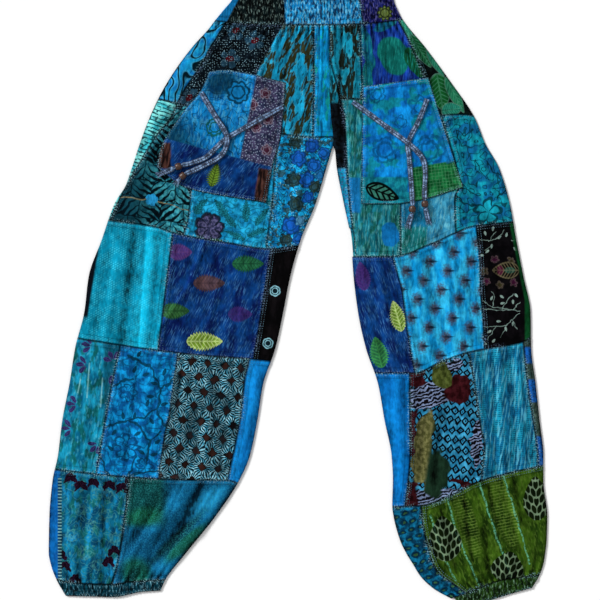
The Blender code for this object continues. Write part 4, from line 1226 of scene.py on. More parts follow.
# the drawing's own millimetres, flat
w, given, out = startGroup("drawingPlace", "", "Place:v")
inDrawing = w.shift("SUBTRACT", w.add("TexCoord").outputs["Object"], (*boxShift, 0))
w.feed(out["Place"], w.shift("MULTIPLY", inDrawing, (1000, 1000, 0)))

# a pointed leaf with a toothed rim and veins
w, given, out = startGroup(
    "leafShape", "Place:v Centre:v Length:f Width:f Turn:f Teeth:f", "Inside:f Rim:f Veins:f")
half = w.join(w.times(given["Length"], 0.5), w.times(given["Width"], 0.5), 1.0)
a, b = w.parts(w.moved(given["Place"], given["Centre"], given["Turn"], half))
b = w.size(b)
hump = w.calc("POWER", w.minus(1.0, w.times(a, a), clamp=True), 0.72)
hump = w.times(hump, w.minus(1.0, w.times(a, 0.3)))
tooth = w.times(w.calc("FRACT", w.times(a, 6.5)), given["Teeth"])
edge = w.minus(w.times(hump, w.minus(1.0, tooth)), b)
inside = w.times(w.between(edge, -0.04, 0.05), w.between(w.size(a), 1.0, 0.94))
vein = w.calc("FRACT", w.minus(w.times(a, 4.5), w.times(b, 1.7)))
vein = w.between(w.size(w.minus(vein, 0.5)), 0.2, 0.1)
w.feed(out["Inside"], inside)
w.feed(out["Rim"], w.times(inside, w.between(edge, 0.24, 0.14)))
w.feed(out["Veins"], w.times(inside, w.most(vein, w.between(b, 0.1, 0.04))))

# an open flower seen from above
w, given, out = startGroup(
    "flowerShape", "Place:v Centre:v Radius:f Petals:f Notch:f Turn:f",
    "Inside:f Outline:f Rays:f Ring:f")
local = w.moved(given["Place"], given["Centre"], given["Turn"], w.join(given["Radius"], given["Radius"], 1.0))
x, y = w.parts(local)
reach = w.shift("LENGTH", local)
wave = w.times(w.calc("ARCTAN2", y, x), w.times(given["Petals"], 0.5))
wave = w.size(w.calc("COSINE", wave))
dent = w.times(given["Notch"], w.minus(1.0, w.calc("POWER", wave, 0.6)))
edge = w.minus(w.minus(1.0, dent), reach)
inside = w.between(edge, -0.04, 0.05)
w.feed(out["Inside"], inside)
w.feed(out["Outline"], w.times(w.between(edge, -0.1, -0.02), w.between(edge, 0.2, 0.12)))
w.feed(out["Rays"], w.times(inside, w.between(wave, 0.42, 0.22)))
w.feed(out["Ring"], w.between(w.size(w.minus(reach, 0.55)), 0.12, 0.05))

# a straight brush stroke with round ends
w, given, out = startGroup("stroke", "Place:v From:v To:v Width:f", "Mask:f")
toPlace = w.shift("SUBTRACT", given["Place"], given["From"])
run = w.shift("SUBTRACT", given["To"], given["From"])
share = w.calc("DIVIDE", w.shift("DOT_PRODUCT", toPlace, run), w.shift("DOT_PRODUCT", run, run), clamp=True)
away = w.shift("LENGTH", w.shift("SUBTRACT", toPlace, w.scaled(run, share)))
halfWidth = w.times(given["Width"], 0.5)
w.feed(out["Mask"], w.between(away, w.plus(halfWidth, 0.4), w.minus(halfWidth, 0.3)))

# a staggered repeat: the place within each cell, and a chance value for each
w, given, out = startGroup(
    "repeatGrid", "Place:v Across:f Up:f Turn:f Stagger:f", "Local:v Chance:f Odd:f")
u, v = w.parts(w.moved(given["Place"], (0, 0, 0), given["Turn"], w.join(given["Across"], given["Up"], 1.0)))
row = w.calc("FLOOR", v)
odd = w.calc("FLOORED_MODULO", row, 2.0)
u = w.plus(u, w.times(given["Stagger"], odd))
column = w.calc("FLOOR", u)
inCell = w.join(w.minus(w.minus(u, column), 0.5), w.minus(w.minus(v, row), 0.5))
w.feed(out["Local"], w.shift("MULTIPLY", inCell, w.join(given["Across"], given["Up"])))
chance = w.add("TexWhiteNoise", noise_dimensions="2D")
w.feed(chance.inputs["Vector"], w.join(column, row))
w.feed(out["Chance"], chance.outputs["Value"])
w.feed(out["Odd"], w.calc("FLOORED_MODULO", w.plus(column, row), 2.0))

# blotches with an outline, drawn out along one way
w, given, out = startGroup(
    "blotches", "Place:v Size:f Level:f Edge:f Turn:f Stretch:f", "Inside:f Outline:f")
grain = w.join(w.times(given["Size"], given["Stretch"]), given["Size"], 1.0)
value = w.noise(w.moved(given["Place"], (0, 0, 0), given["Turn"], grain), 1.0, 2.5)
fromLevel = w.minus(value, given["Level"])
w.feed(out["Inside"], w.between(fromLevel, w.times(given["Edge"], -1.0), given["Edge"]))
w.feed(out["Outline"], w.between(w.size(fromLevel), 0.035, 0.014))

# brush lines that curl round each other
w, given, out = startGroup("curls", "Place:v Size:f Count:f Width:f Turn:f Stretch:f", "Mask:f")
grain = w.join(w.times(given["Size"], given["Stretch"]), given["Size"], 1.0)
value = w.noise(w.moved(given["Place"], (31, 17, 0), given["Turn"], grain), 1.0, 0.6)
value = w.calc("FRACT", w.times(value, given["Count"]))
line = w.size(w.minus(value, 0.5))
w.feed(out["Mask"], w.between(line, given["Width"], w.times(given["Width"], 0.45)))

# stripes across one way, wandering a little
w, given, out = startGroup("stripes", "Place:v Pitch:f Share:f Turn:f Wander:f", "Mask:f")
x, y = w.parts(w.moved(given["Place"], (0, 0, 0), given["Turn"]))
sway = w.times(w.minus(w.noise(given["Place"], 11.0), 0.5), given["Wander"])
phase = w.calc("FRACT", w.calc("DIVIDE", w.plus(x, sway), given["Pitch"]))
phase = w.times(w.size(w.minus(phase, 0.5)), 2.0)
w.feed(out["Mask"], w.between(phase, w.plus(given["Share"], 0.14), w.minus(given["Share"], 0.14)))

# loose dots
w, given, out = startGroup("specks", "Place:v Pitch:f Radius:f Loose:f", "Mask:f")
cells = w.add("TexVoronoi", voronoi_dimensions="2D")
w.feed(cells.inputs["Vector"], w.shift("DIVIDE", given["Place"], w.join(given["Pitch"], given["Pitch"], 1.0)))
cells.inputs["Scale"].default_value = 1.0
w.feed(cells.inputs["Randomness"], given["Loose"])
away = w.times(cells.outputs["Distance"], given["Pitch"])
w.feed(out["Mask"], w.between(away, w.plus(given["Radius"], 0.3), w.minus(given["Radius"], 0.3)))

# the cloth under the print: weave, uneven dye, worn seams, painted light on the crests, and painted shade in
# the troughs, the seam ditches and at the welts' edges
w, given, out = startGroup("clothFinishAndPaintedShade", "Colour:c Worn:c Wear:f Mottle:f", "Colour:c Height:f Worn:f")
place = w.use("drawingPlace")["Place"]
nearSeam, crest = w.attribute("seamNear"), w.attribute("crest")
broad = w.minus(w.noise(place, 30.0, 3.0), 0.5)
fine = w.minus(w.noise(w.moved(place, (0, 0, 0), 0.0, (1.0, 2.4, 1.0)), 3.2, 3.0), 0.5)
shade = w.plus(w.times(broad, 1.3), w.times(fine, 1.5))
shade = w.timesPlus(shade, given["Mottle"], 1.0)
x, y = w.parts(w.scaled(place, 10.5))
weave = w.times(w.calc("SINE", x), w.calc("SINE", y))
shade = w.timesPlus(weave, 0.05, shade)
# painted light on the crests and painted shade in the troughs, from the relief
shade = w.timesPlus(w.calc("MINIMUM", crest, 1.6), 0.28, shade)
# painted shade in the seam ditches and where the welts step down
ditch = w.times(w.between(nearSeam, 2.6, 0.6), 0.75)
weltEdgeShade = w.times(w.between(w.size(w.minus(nearSeam, 8.0)), 1.4, 0.2), 0.3)
shade = w.times(shade, w.minus(1.0, w.calc("MAXIMUM", ditch, weltEdgeShade)))
shade = w.times(w.calc("MAXIMUM", shade, 0.1), 0.72)
colour = w.multiplied(given["Colour"], w.join(w.times(shade, 0.88), w.times(shade, 0.97), shade))
ripple = w.calc("SINE", w.timesPlus(w.noise(place, 8.0), 7.0, w.times(w.attribute("seamRun"), 1.6)))
flecks = w.between(w.timesPlus(ripple, 0.09, w.noise(place, 2.1, 1.5)), 0.52, 0.7)
beside = w.between(w.timesPlus(w.noise(place, 9.0), 6.0, nearSeam), 9.0, 4.0)
beside = w.times(beside, w.between(w.noise(place, 36.0), 0.36, 0.6))
worn = w.times(w.times(flecks, beside), given["Wear"], clamp=True)
w.feed(out["Colour"], w.blend(worn, colour, given["Worn"]))
w.feed(out["Worn"], worn)
w.feed(out["Height"], w.timesPlus(weave, 0.35, w.times(fine, 1.4)))


def startMaterial(name):
    material = bpy.data.materials.new(name)
    material.use_nodes = True
    return material, Wire(material.node_tree), material.node_tree.nodes["Principled BSDF"]


def addBump(w, shader, height, strength, distance):
    bump = w.add("Bump")
    bump.inputs["Strength"].default_value = strength
    bump.inputs["Distance"].default_value = distance
    w.feed(bump.inputs["Height"], height)
    w.feed(shader.inputs["Normal"], bump.outputs["Normal"])


clothLook = {"mottle": 0.8, "roughness": 0.86, "sheen": 0.03, "sheenRoughness": 0.4, "specular": 0.02,
             "bump": 0.5}


def clothMaterial(name, colourOf, worn, wear):
    # colourOf builds the print from the drawing's millimetres
    material, w, shader = startMaterial(name)
    place = w.use("drawingPlace")["Place"]
    # the finish holds painted light and shade of the folds as well as dye and wear
    finishAndShade = w.use("clothFinishAndPaintedShade", Colour=colourOf(w, place), Worn=worn, Wear=wear, Mottle=clothLook["mottle"])
    w.feed(shader.inputs["Base Color"], finishAndShade["Colour"])
    w.feed(shader.inputs["Roughness"], w.timesPlus(finishAndShade["Worn"], 0.1, clothLook["roughness"]))
    shader.inputs["Sheen Weight"].default_value = clothLook["sheen"]
    shader.inputs["Sheen Roughness"].default_value = clothLook["sheenRoughness"]
    shader.inputs["Specular IOR Level"].default_value = clothLook["specular"]
    addBump(w, shader, finishAndShade["Height"], clothLook["bump"], 0.0003)
    return material


# motifs that several prints share
def leaves(w, p, c, several, teeth=0.28):
    for at, length, width, turn, code, vein, strength in several:
        made = w.leaf(p, at, float(length), float(width), turn, teeth)
        c = w.paint(c, made["Inside"], code, strength)
        c = w.paint(c, made["Veins"], vein, strength * 0.7)
        c = w.paint(c, made["Rim"], vein, strength * 0.5)
    return c


def blooms(w, p, c, several, petals=5.0, notch=0.3, line=0.85, fill=0.9):
    # filled where a colour is given, else only drawn in line
    for at, radius, code, drawn in several:
        bloom = w.flower(p, at, float(radius), petals, notch, at[0] * 0.7)
        if code:
            c = w.paint(c, bloom["Inside"], code, fill)
        c = w.paint(c, w.most(bloom["Outline"], bloom["Ring"]), drawn, line)
    return c


def curled(w, p, c, code, size, count, width, amount, turn=0.5, stretch=1.3):
    lines = w.use("curls", Place=p, Size=float(size), Count=count, Width=width, Turn=turn, Stretch=stretch)
    return w.paint(c, lines["Mask"], code, amount)


def blotched(w, p, c, code, size, level, edge, amount, turn=1.5, stretch=2.0):
    place = w.moved(p, (size * 7, size * 3, 0))
    spots = w.use("blotches", Place=place, Size=float(size), Level=level, Edge=edge, Turn=turn,
                  Stretch=stretch)
    return w.paint(c, spots["Inside"], code, amount)


# prints of the left leg
def hipScroll(w, p):
    c = w.wash(p, "1074b8", "1ca4dc", 18)
    for code, width, amount in (("5cc4dc", 0.36, 0.5), ("0a4f74", 0.25, 0.6), ("031c26", 0.16, 1.0)):
        c = curled(w, p, c, code, 25, 4.4, width, amount, 0.9, 1.3)
    return c


def hipDotted(w, p):
    c = w.wash(p, "04070c", "0c161f", 22)
    for at, turn in (((-96, 400), 0.3), ((-66, 384), 0.5), ((-105, 356), 0.0), ((-168, 296), 0.9)):
        bloom = w.flower(w.warp(p, 8, 6), at, 16.0, 5.0, 0.5, turn)
        c = w.paint(c, bloom["Inside"], "2f5870", 0.6)
        c = w.paint(c, bloom["Rays"], "101c28")
        c = w.paint(c, w.oval(p, at, 13, 9, turn), "4c0c16")
    dots = w.use("specks", Place=p, Pitch=3.8, Radius=0.62, Loose=0.7)["Mask"]
    return w.paint(c, w.times(dots, w.between(w.noise(p, 13.0), 0.32, 0.56)), "9cc4d0", 0.8)


def camo(base, light, dark, lean):
    def build(w, p):
        c = w.wash(p, base, light, 14, 3.0, lean)
        big = w.use("blotches", Place=p, Size=13.0, Level=0.51, Edge=0.02, Turn=lean, Stretch=2.8)
        c = w.paint(c, big["Outline"], "58b4c0", 0.5)
        c = w.paint(c, big["Inside"], dark)
        c = blotched(w, p, c, "0a1a1c", 5, 0.6, 0.03, 0.8, lean, 4.0)
        return blotched(w, p, c, light, 3.4, 0.6, 0.05, 0.45, lean, 4.5)
    return build


def hipCentre(w, p):
    c = w.wash(p, "0c80bc", "12b0f0", 8, 5.0, 1.5)
    c = blotched(w, p, c, "14a08c", 8, 0.6, 0.05, 0.8)
    return blotched(w, p, c, "084a70", 4, 0.6, 0.05, 0.7, 1.5, 7.0)


def thighStriped(w, p):
    c = w.wash(p, "3cbcc8", "8ceae4", 14)
    bars = w.use("stripes", Place=p, Pitch=5.8, Share=0.34, Turn=1.25, Wander=3.0)["Mask"]
    c = w.paint(c, w.times(bars, w.between(w.noise(p, 9.0), 0.34, 0.46)), "0a3a44", 0.95)
    c = blotched(w, p, c, "0a3a44", 6, 0.62, 0.03, 0.9, 0.4, 1.6)
    x, y = w.parts(p)
    # painted shade: the strip darkens on its right side, where it falls into the valley beside the pocket
    return w.paint(c, w.between(w.timesPlus(y, -0.46, x), -330.0, -298.0), "04303c", 0.9)


def thighLeafy(w, p):
    middle = w.moved(w.warp(p, 20, 9), (-226, 138, 0))
    cell = w.use("repeatGrid", Place=middle, Across=34.0, Up=29.0, Turn=-0.13, Stagger=0.5)
    turn = w.timesPlus(cell["Odd"], 1.75, -0.7)
    along, across = w.parts(w.moved(cell["Local"], (0, 0, 0), turn))
    share = w.timesPlus(across, 0.022, 0.6)
    blades = w.use("stripes", Place=w.join(along, across), Pitch=8.6, Share=share, Turn=0.0, Wander=4.0)
    x, y = w.parts(cell["Local"])
    split = w.calc("MINIMUM", w.between(w.size(x), 17.0, 15.4), w.between(w.size(y), 14.5, 12.9))
    x, y = w.parts(p)
    # the ground darkens towards the outer side: painted shade of the valley beside the pocket
    light = w.blend(w.between(x, -260.0, -190.0), "0f3f4c", w.wash(p, "1c6c80", "4cb0bc", 7))
    c = w.blend(w.times(blades["Mask"], split), "02121a", light)
    c = w.paint(c, w.strokes(w.warp(p, 20, 7), [((-292, 141), (-226, 138), (-158, 118))], 1.5), "8c7c58", 0.8)
    return w.paint(c, w.flower(w.warp(p, 5, 3), (-226, 138), 10.0, 5.0, 0.3)["Inside"], "2a9fd8")


def thighFern(w, p):
    c = w.wash(p, "1488bc", "28b8e8", 12)
    q = w.warp(p, 10, 6)
    c = curled(w, p, c, "0a5860", 14, 4.4, 0.16, 0.6, 0.3)
    ferns = (((-150, 128), 34, 15, 0.9), ((-118, 124), 36, 16, 2.2), ((-98, 84), 34, 13, 2.7),
             ((-62, 88), 34, 13, 0.4), ((-80, 122), 38, 14, 1.57), ((-55, 112), 34, 13, 0.9),
             ((-106, 108), 34, 12, 2.2), ((-48, 138), 30, 13, 2.4), ((-42, 74), 28, 12, 1.9))
    c = leaves(w, q, c, [(*fern, "1c8496", "042428", 1.0) for fern in ferns], 0.5)
    bloom = w.flower(q, (-137, 95), 23.0, 7.0, 0.2)
    c = w.paint(c, bloom["Inside"], w.wash(p, "2c2f50", "66608a", 4))
    c = w.paint(c, w.most(bloom["Outline"], bloom["Rays"]), "0c1824", 0.85)
    return leaves(w, q, c, (((-150, 74), 30, 12, 2.8, "6f9e4a", "0c3a30", 0.9),
                            ((-130, 72), 28, 12, 0.3, "5f9448", "0c3a30", 0.9)), 0.4)


def thighBlooms(w, p):
    c = w.wash(p, "0f7ebc", "1cb8f2", 10)
    c = curled(w, p, c, "08384c", 11, 4.4, 0.16, 0.9, 0.0, 1.0)
    c = blotched(w, p, c, "2f4234", 9, 0.56, 0.03, 0.8, 0.5, 1.2)
    dots = w.use("specks", Place=p, Pitch=4.0, Radius=0.8, Loose=0.8)["Mask"]
    c = w.paint(c, w.times(dots, w.between(w.noise(p, 14.0), 0.52, 0.6)), "9fe0e4", 0.6)
    q = w.warp(p, 9, 5)
    return blooms(w, q, c, (
        ((1, 202), 13, "1452b4", "06283c"), ((25, 191), 12, "1a66c8", "06283c"),
        ((14, 169), 13, "155abc", "06283c"), ((-10, 98), 15, "1559bc", "06283c"),
        ((-7, 169), 12, "2a3a30", "0a1c1c"), ((-3, 132), 13, "283830", "0a1c1c"),
        ((27, 158), 10, "2c3c34", "0a1c1c"), ((4, 105), 8, "5fa0c8", "0a3c5c"),
        ((22, 222), 12, "1450b0", "06283c"), ((40, 210), 10, "1a66c8", "06283c"),
        ((-4, 226), 10, "2c3a2c", "0a1c1c"), ((16, 142), 10, "1559bc", "06283c"),
        ((-18, 76), 10, "2c3c34", "0a1c1c"), ((2, 78), 10, "1a66c8", "06283c"),
        ((35, 176), 9, "1e6cac", "06283c")), 6.0, 0.26, 0.6)


def kneeTurquoise(w, p):
    c = w.wash(p, "089cc0", "0cb0d8", 24, 5.0, 1.62)
    x, y = w.parts(p)
    sideways = w.timesPlus(y, -0.16, x)
    # painted shade on the trough side of the knee's broad fold, and a painted highlight along its ridge
    c = w.paint(c, w.between(sideways, -238.0, -262.0), "077c98", 0.6)
    c = w.paint(c, w.between(w.size(w.plus(sideways, 236.0)), 14.0, 3.0), "14c4e8", 0.55)
    cell = w.use("repeatGrid", Place=p, Across=4.2, Up=3.2, Turn=0.5, Stagger=0.5)
    x, y = w.parts(cell["Local"])
    dash = w.times(w.between(w.size(x), 1.7, 1.0), w.between(w.size(y), 1.1, 0.4))
    c = w.paint(c, w.times(dash, w.between(w.noise(p, 16.0, 3.0), 0.36, 0.6)), "4fdcec", 0.5)
    return w.paint(c, w.box(p, (-400, -45), (-300, 62), 5), "0a1018", w.between(sideways, -316.0, -320.0))


def scratched(w, p, lean):
    c = w.wash(p, "081c58", "0d4488", 18, 2.0, lean, 0.2)
    lines = w.use("blotches", Place=p, Size=1.6, Level=0.57, Edge=0.07, Turn=lean, Stretch=9.0)
    some = w.between(w.noise(p, 20.0), 0.36, 0.62)
    return w.paint(c, w.times(lines["Inside"], some), "4a84bc", 0.55)


def leftNavy(w, p):
    return leaves(w, p, scratched(w, p, 1.15), (
        ((-182, 57), 38, 28, 0.0, "5c3078", "70447f", 0.75),
        ((-77, 39), 50, 28, 0.0, "2c7440", "12402c", 0.9),
        ((-137, 9), 50, 28, 0.0, "664640", "403038", 0.85),
        ((-190, -34), 46, 28, 0.0, "3f7434", "16401f", 0.9),
        ((-89, -39), 38, 26, 0.0, "3a2468", "482f74", 0.75),
        ((-144, -81), 57, 31, 0.0, "7f9c30", "d4e490", 1.0)))


def kneeBlack(w, p):
    c = w.wash(p, "060506", "100c0e", 10, 3.0, 1.5)
    flowers = [(at, 8.2, "0c2028", "9cd4e0") for at in ((-35, -3), (-46, -84))]
    return blooms(w, p, c, flowers, 6.0, 0.12, 0.85)


def petalsAt(w, p, c, joints, dark, light):
    # petals that open from each joint
    for x, y, turn in joints:
        for lean in (-0.85, 0.0, 0.85):
            at = (x + 10.0 * math.cos(turn + lean), y + 10.0 * math.sin(turn + lean))
            c = leaves(w, p, c, ((at, 14, 6.4, turn + lean + math.pi, dark, light, 0.95),), 0.0)
    return c


def calfTeal(w, p):
    c = w.wash(p, "0a6c90", "1ca0c4", 13, 2.2, 1.6)
    c = blotched(w, p, c, "126450", 11, 0.55, 0.05, 0.7)
    c = blotched(w, p, c, "54bcd4", 4, 0.62, 0.05, 0.5, 1.4, 2.6)
    x, y = w.parts(p)
    c = w.paint(c, w.times(w.between(x, -304.0, -297.0), w.between(y, -235.0, -190.0)), "0a5068", 0.75)
    worn = w.strokes(p, (((-322, -115), (-326, -168)), ((-302, -138), (-305, -182)),
                         ((-336, -140), (-340, -160))), 2.0)
    c = w.paint(c, worn, "9fe0e0", 0.5)
    return petalsAt(w, w.warp(p, 7, 3), c, (
        (-326, -117, 3.1), (-341, -179, 3.0), (-349, -216, 3.1), (-318, -88, 2.9), (-285, -112, 2.0),
        (-309, -240, 3.9), (-296, -262, 4.4), (-292, -150, 0.4)), "0f0b38", "6454a4")


def calfVine(w, p):
    c = w.wash(p, "0a5fa0", "12a0e4", 12)
    c = curled(w, p, c, "0a4f80", 15, 3.0, 0.15, 0.7, 0.4, 1.0)
    q = w.warp(p, 13, 9)
    for at, radius, petals in (((-266, -245), 21, 8), ((-237, -274), 13, 6), ((-207, -270), 11, 6),
                               ((-262, -160), 14, 7)):
        bloom = w.flower(q, at, float(radius), float(petals), 0.3)
        c = w.paint(c, w.most(bloom["Outline"], bloom["Rays"]), "06406c", 0.85)
    vines = w.strokes(q, (
        ((-262, -105), (-227, -120), (-212, -154), (-217, -186), (-210, -207), (-196, -216)),
        ((-212, -154), (-188, -136)), ((-227, -120), (-256, -107)),
        ((-256, -140), (-275, -142), (-284, -152)),
        ((-217, -186), (-238, -198), (-262, -203)), ((-262, -203), (-297, -214)),
        ((-260, -204), (-245, -212), (-229, -236), (-210, -220)), ((-229, -236), (-234, -270)),
        ((-262, -288), (-249, -260)), ((-293, -288), (-306, -257)), ((-262, -288), (-205, -280))), 3.0)
    small = ((-245, -100, 1.0), (-234, -132, 0.4), (-252, -124, 1.1), (-206, -128, 1.2), (-222, -146, 2.9),
             (-228, -166, 3.1), (-200, -148, 0.5), (-232, -176, 1.3), (-206, -178, 0.3), (-226, -204, 2.2),
             (-252, -196, 1.4), (-248, -224, 3.6), (-216, -236, 0.6), (-222, -256, 0.2), (-242, -252, 2.6),
             (-270, -196, 1.7), (-284, -222, 4.0), (-290, -246, 2.4))
    buds = [w.leaf(p, (x, y), 12.0, 5.4, turn)["Inside"] for x, y, turn in small]
    return w.paint(c, w.most(vines, *buds), "063c54", 0.9)


def calfHatched(w, p):
    middle = w.moved(w.warp(p, 16, 7), (-127, -128, 0))
    cell = w.use("repeatGrid", Place=middle, Across=25.7, Up=22.8, Turn=-0.14, Stagger=0.5)
    x, y = w.parts(cell["Local"])
    rays = w.calc("FRACT", w.times(w.calc("ARCTAN2", y, x), 3.03))
    rays = w.between(w.size(w.minus(rays, 0.5)), 0.3, 0.14)
    c = w.blend(rays, "041820", w.wash(p, "4498b4", "a4dcec", 6))
    away = w.times(w.plus(w.size(x), w.size(y)), 0.8)
    away = w.timesPlus(w.noise(p, 4.0), 5.0, away)
    c = w.paint(c, w.between(away, 9.4, 8.2), "030c10")
    c = w.paint(c, w.between(away, 7.8, 6.6), w.blend(cell["Chance"], "100a0c", "44261f"))
    return blotched(w, p, c, "061c24", 26, 0.54, 0.1, 0.65)


def plainBlue(dark, light, turn):
    def build(w, p):
        c = w.wash(p, dark, light, 14, 4.0, turn, 0.25)
        return blotched(w, p, c, light, 3, 0.56, 0.1, 0.35, turn, 3.5)
    return build


def shinTulip(w, p):
    c = w.wash(p, "084a6c", "127ca0", 13, 1.8, 1.4)
    c = blotched(w, p, c, "1a6c5c", 12, 0.57, 0.06, 0.65)
    c = blotched(w, p, c, "1890c8", 9, 0.62, 0.06, 0.7)
    q = w.warp(p, 7, 7)
    c = curled(w, p, c, "4c9c9c", 13, 4.4, 0.1, 0.6, 0.0, 1.0)
    c = blooms(w, q, c, [(at, 8 + at[0] % 4, None, "5ca89c") for at in (
        (-306, -315), (-292, -318), (-319, -366), (-329, -408), (-258, -322), (-335, -342), (-298, -350),
        (-282, -386), (-311, -427), (-350, -380))], 6.0, 0.45, 0.35)
    tulips = ((-351, -293), (-335, -304), (-316, -300), (-292, -304), (-272, -308), (-258, -295),
              (-367, -411), (-360, -429), (-284, -406), (-292, -422), (-316, -466), (-345, -450))
    for lean in (-0.5, 0.5):
        c = leaves(w, q, c, [((x + lean * 9, y), 18, 9, 4.71 + lean, "080610", "3a1430", 1.0)
                             for x, y in tulips], 0.0)
    x, y = w.parts(p)
    hem = w.box(p, (-371, -480), (-365, -292), 0.8)
    c = w.paint(c, w.between(x, -366.0, -369.0), "0e70c8", 0.85)
    dashes = w.times(hem, w.between(w.calc("SINE", w.times(y, 1.3)), 0.1, 0.5))
    return w.paint(w.paint(c, hem, "082c3c", 0.8), dashes, "a0dcd8", 0.6)


def shinGreen(w, p):
    c = w.wash(p, "084c74", "0f6c9c", 30, 1.6, 0.9)
    fine = w.use("blotches", Place=p, Size=2.0, Level=0.53, Edge=0.08, Turn=0.5, Stretch=1.0)["Inside"]
    c = w.paint(c, fine, "2a94b8", 0.4)
    # the two '031c28' ovals are painted shade along the fold troughs; the others are the print's patches
    for mask, code in ((w.box(p, (-275, -366), (-204, -280), 10), "083c30"),
                       (w.oval(p, (-240, -352), 52, 26, 0.2, 0.5), "146040"),
                       (w.oval(p, (-250, -440), 44, 50, 0.3, 0.4), "125c3c"),
                       (w.oval(p, (-172, -392), 22, 86, -0.86, 0.4), "12583c"),
                       (w.oval(p, (-145, -332), 26, 70, -0.9, 0.5), "1c88bc"),
                       (w.oval(p, (-186, -384), 15, 120, -0.8, 0.6), "031c28"),
                       (w.oval(p, (-262, -452), 12, 60, -0.6, 0.6), "031c28")):
        c = w.paint(c, mask, w.blend(w.times(fine, 0.3), code, "3aa49c"), 0.9)
    return c


# prints of the right leg
def hipNavy(w, p):
    c = w.wash(p, "0e1a5c", "143c9c", 7, 6.0, 1.5)
    streak = w.use("blotches", Place=p, Size=2.2, Level=0.56, Edge=0.06, Turn=1.5, Stretch=8.0)["Inside"]
    c = w.paint(c, streak, "2f5cb4", 0.5)
    q = w.warp(p, 24, 9)
    shapes = (((148, 360), 46, 62, 0.4, "0c645c"), ((106, 376), 18, 74, 0.25, "0c5c7c"),
              ((180, 350), 20, 54, 0.5, "0c4c2c"), ((134, 408), 40, 14, 0.5, "0c5478"),
              ((108, 330), 16, 46, 0.0, "0c6474"))
    for at, width, height, turn, code in shapes:
        shape = w.oval(q, at, width, height, turn, 0.06)
        c = w.paint(c, shape, w.blend(w.times(streak, 0.6), code, "1f8c80"))
    return c


def hipLeaves(w, p):
    c = w.wash(p, "030607", "081412", 12)
    shapes = (((166, 400), 56, 17, -0.94, "2f9478"), ((190, 368), 62, 20, -1.0, "0f5430"),
              ((220, 305), 60, 34, -1.4, "0f5424"), ((243, 300), 64, 18, -1.1, "1f7450"),
              ((213, 350), 52, 14, -1.0, "207c60"), ((238, 277), 34, 24, 0.2, "187460"))
    for at, length, width, turn, code in shapes:
        made = w.leaf(p, at, float(length), float(width), turn)
        body = w.leaf(p, at, length - 3.0, width - 2.4, turn)
        c = w.paint(w.paint(c, made["Inside"], "54806c", 0.8), body["Inside"],
                    w.blend(w.times(body["Veins"], 0.2), code, "6fbc98"))
    return c


def gussetBlack(w, p):
    share = w.between(w.parts(w.warp(p, 12, 8))[1], 293.0, 285.0)
    upper = camo("0f7894", "1898b4", "1c241c", 1.5)(w, p)
    return w.blend(share, upper, w.wash(p, "060609", "101820", 6))


def gussetBlue(w, p):
    c = w.wash(p, "12809c", "20a0d4", 9, 2.0, 1.5)
    return w.paint(c, w.use("specks", Place=p, Pitch=5.0, Radius=1.2, Loose=1.0)["Mask"], "4a3a78", 0.7)


def thighWash(w, p):
    c = w.wash(p, "14707c", "2490a4", 13, 2.4, 1.5)
    c = blotched(w, p, c, "1c6448", 14, 0.53, 0.06, 0.7, 1.5, 1.6)
    c = blotched(w, p, c, "0a4450", 5, 0.6, 0.05, 0.7, 1.5, 6.0)
    c = blotched(w, p, c, "64b8b8", 2.4, 0.58, 0.05, 0.55, 1.5, 7.0)
    c = w.paint(c, w.oval(w.warp(p, 14, 5), (143, 84), 28, 38, 0.15, 0.06), "1072b4")
    return w.paint(c, w.box(p, (60, 118), (97, 172), 2), "1478bc", 0.9)


def thighGreen(w, p):
    c = w.wash(p, "147068", "1f8488", 12, 1.8, 1.5)
    c = w.paint(c, w.box(p, (200, 60), (246, 150), 2), w.wash(p, "2a84ac", "48a4c4", 8, 2.0, 1.4))
    c = w.paint(c, w.box(p, (150, 96), (200, 140), 3), "1a78b8", 0.6)
    return blotched(w, p, c, "7cc4cc", 2.4, 0.6, 0.05, 0.5, 1.4, 5.0)


def thighOutline(w, p):
    c = w.wash(p, "0f6494", "149cb0", 16)
    c = curled(w, p, c, "06343f", 15, 3.6, 0.12, 0.85, 0.8, 1.0)
    q = w.warp(p, 16, 11)
    bloom = w.flower(q, (293, 119), 21.0, 5.0, 0.6, 0.3)
    c = w.paint(c, bloom["Inside"], "169cb0", 0.9)
    branches = w.strokes(q, (
        ((275, 129), (245, 138), (247, 146), (258, 130)), ((309, 140), (326, 157), (303, 157)),
        ((243, 140), (248, 153), (260, 157), (274, 145)), ((290, 170), (277, 200), (274, 184)),
        ((252, 221), (243, 246), (259, 237), (269, 261)), ((290, 200), (300, 180), (312, 176))), 1.8)
    return w.paint(c, w.most(bloom["Outline"], bloom["Rays"], branches), "042c36", 0.9)


def rightNavy(w, p):
    return leaves(w, p, scratched(w, p, 1.9), (
        ((100, 20), 46, 25, 1.75, "4a2a74", "583680", 0.8),
        ((154, -42), 50, 25, 1.85, "7c9c34", "d4e490", 1.0),
        ((125, -98), 50, 30, 1.8, "2a6c3c", "459a50", 0.95)))


def kneeSpotted(w, p):
    c = w.wash(p, "0c94d4", "34c0f0", 11, 3.4, 1.6)
    cell = w.use("repeatGrid", Place=w.moved(p, (190, 24, 0)), Across=39.4, Up=23.5, Turn=0.377, Stagger=0.5)
    flat = w.moved(cell["Local"], (0, 0, 0), -0.377)
    ragged = w.times(w.noise(p, 3.0, 3.0), 1.1)
    away = w.shift("LENGTH", w.shift("MULTIPLY", flat, (0.1, 0.078, 0.0)))
    c = w.paint(c, w.between(w.plus(away, ragged), 1.75, 0.75), "483c48", 0.95)
    x, y = w.parts(w.moved(flat, (4.5, 0.5, 0)))
    spike = w.plus(w.times(w.size(y), 0.8), w.times(w.size(x), 0.2))
    return w.paint(c, w.between(spike, 2.6, 0.9), "0c2034", 0.9)


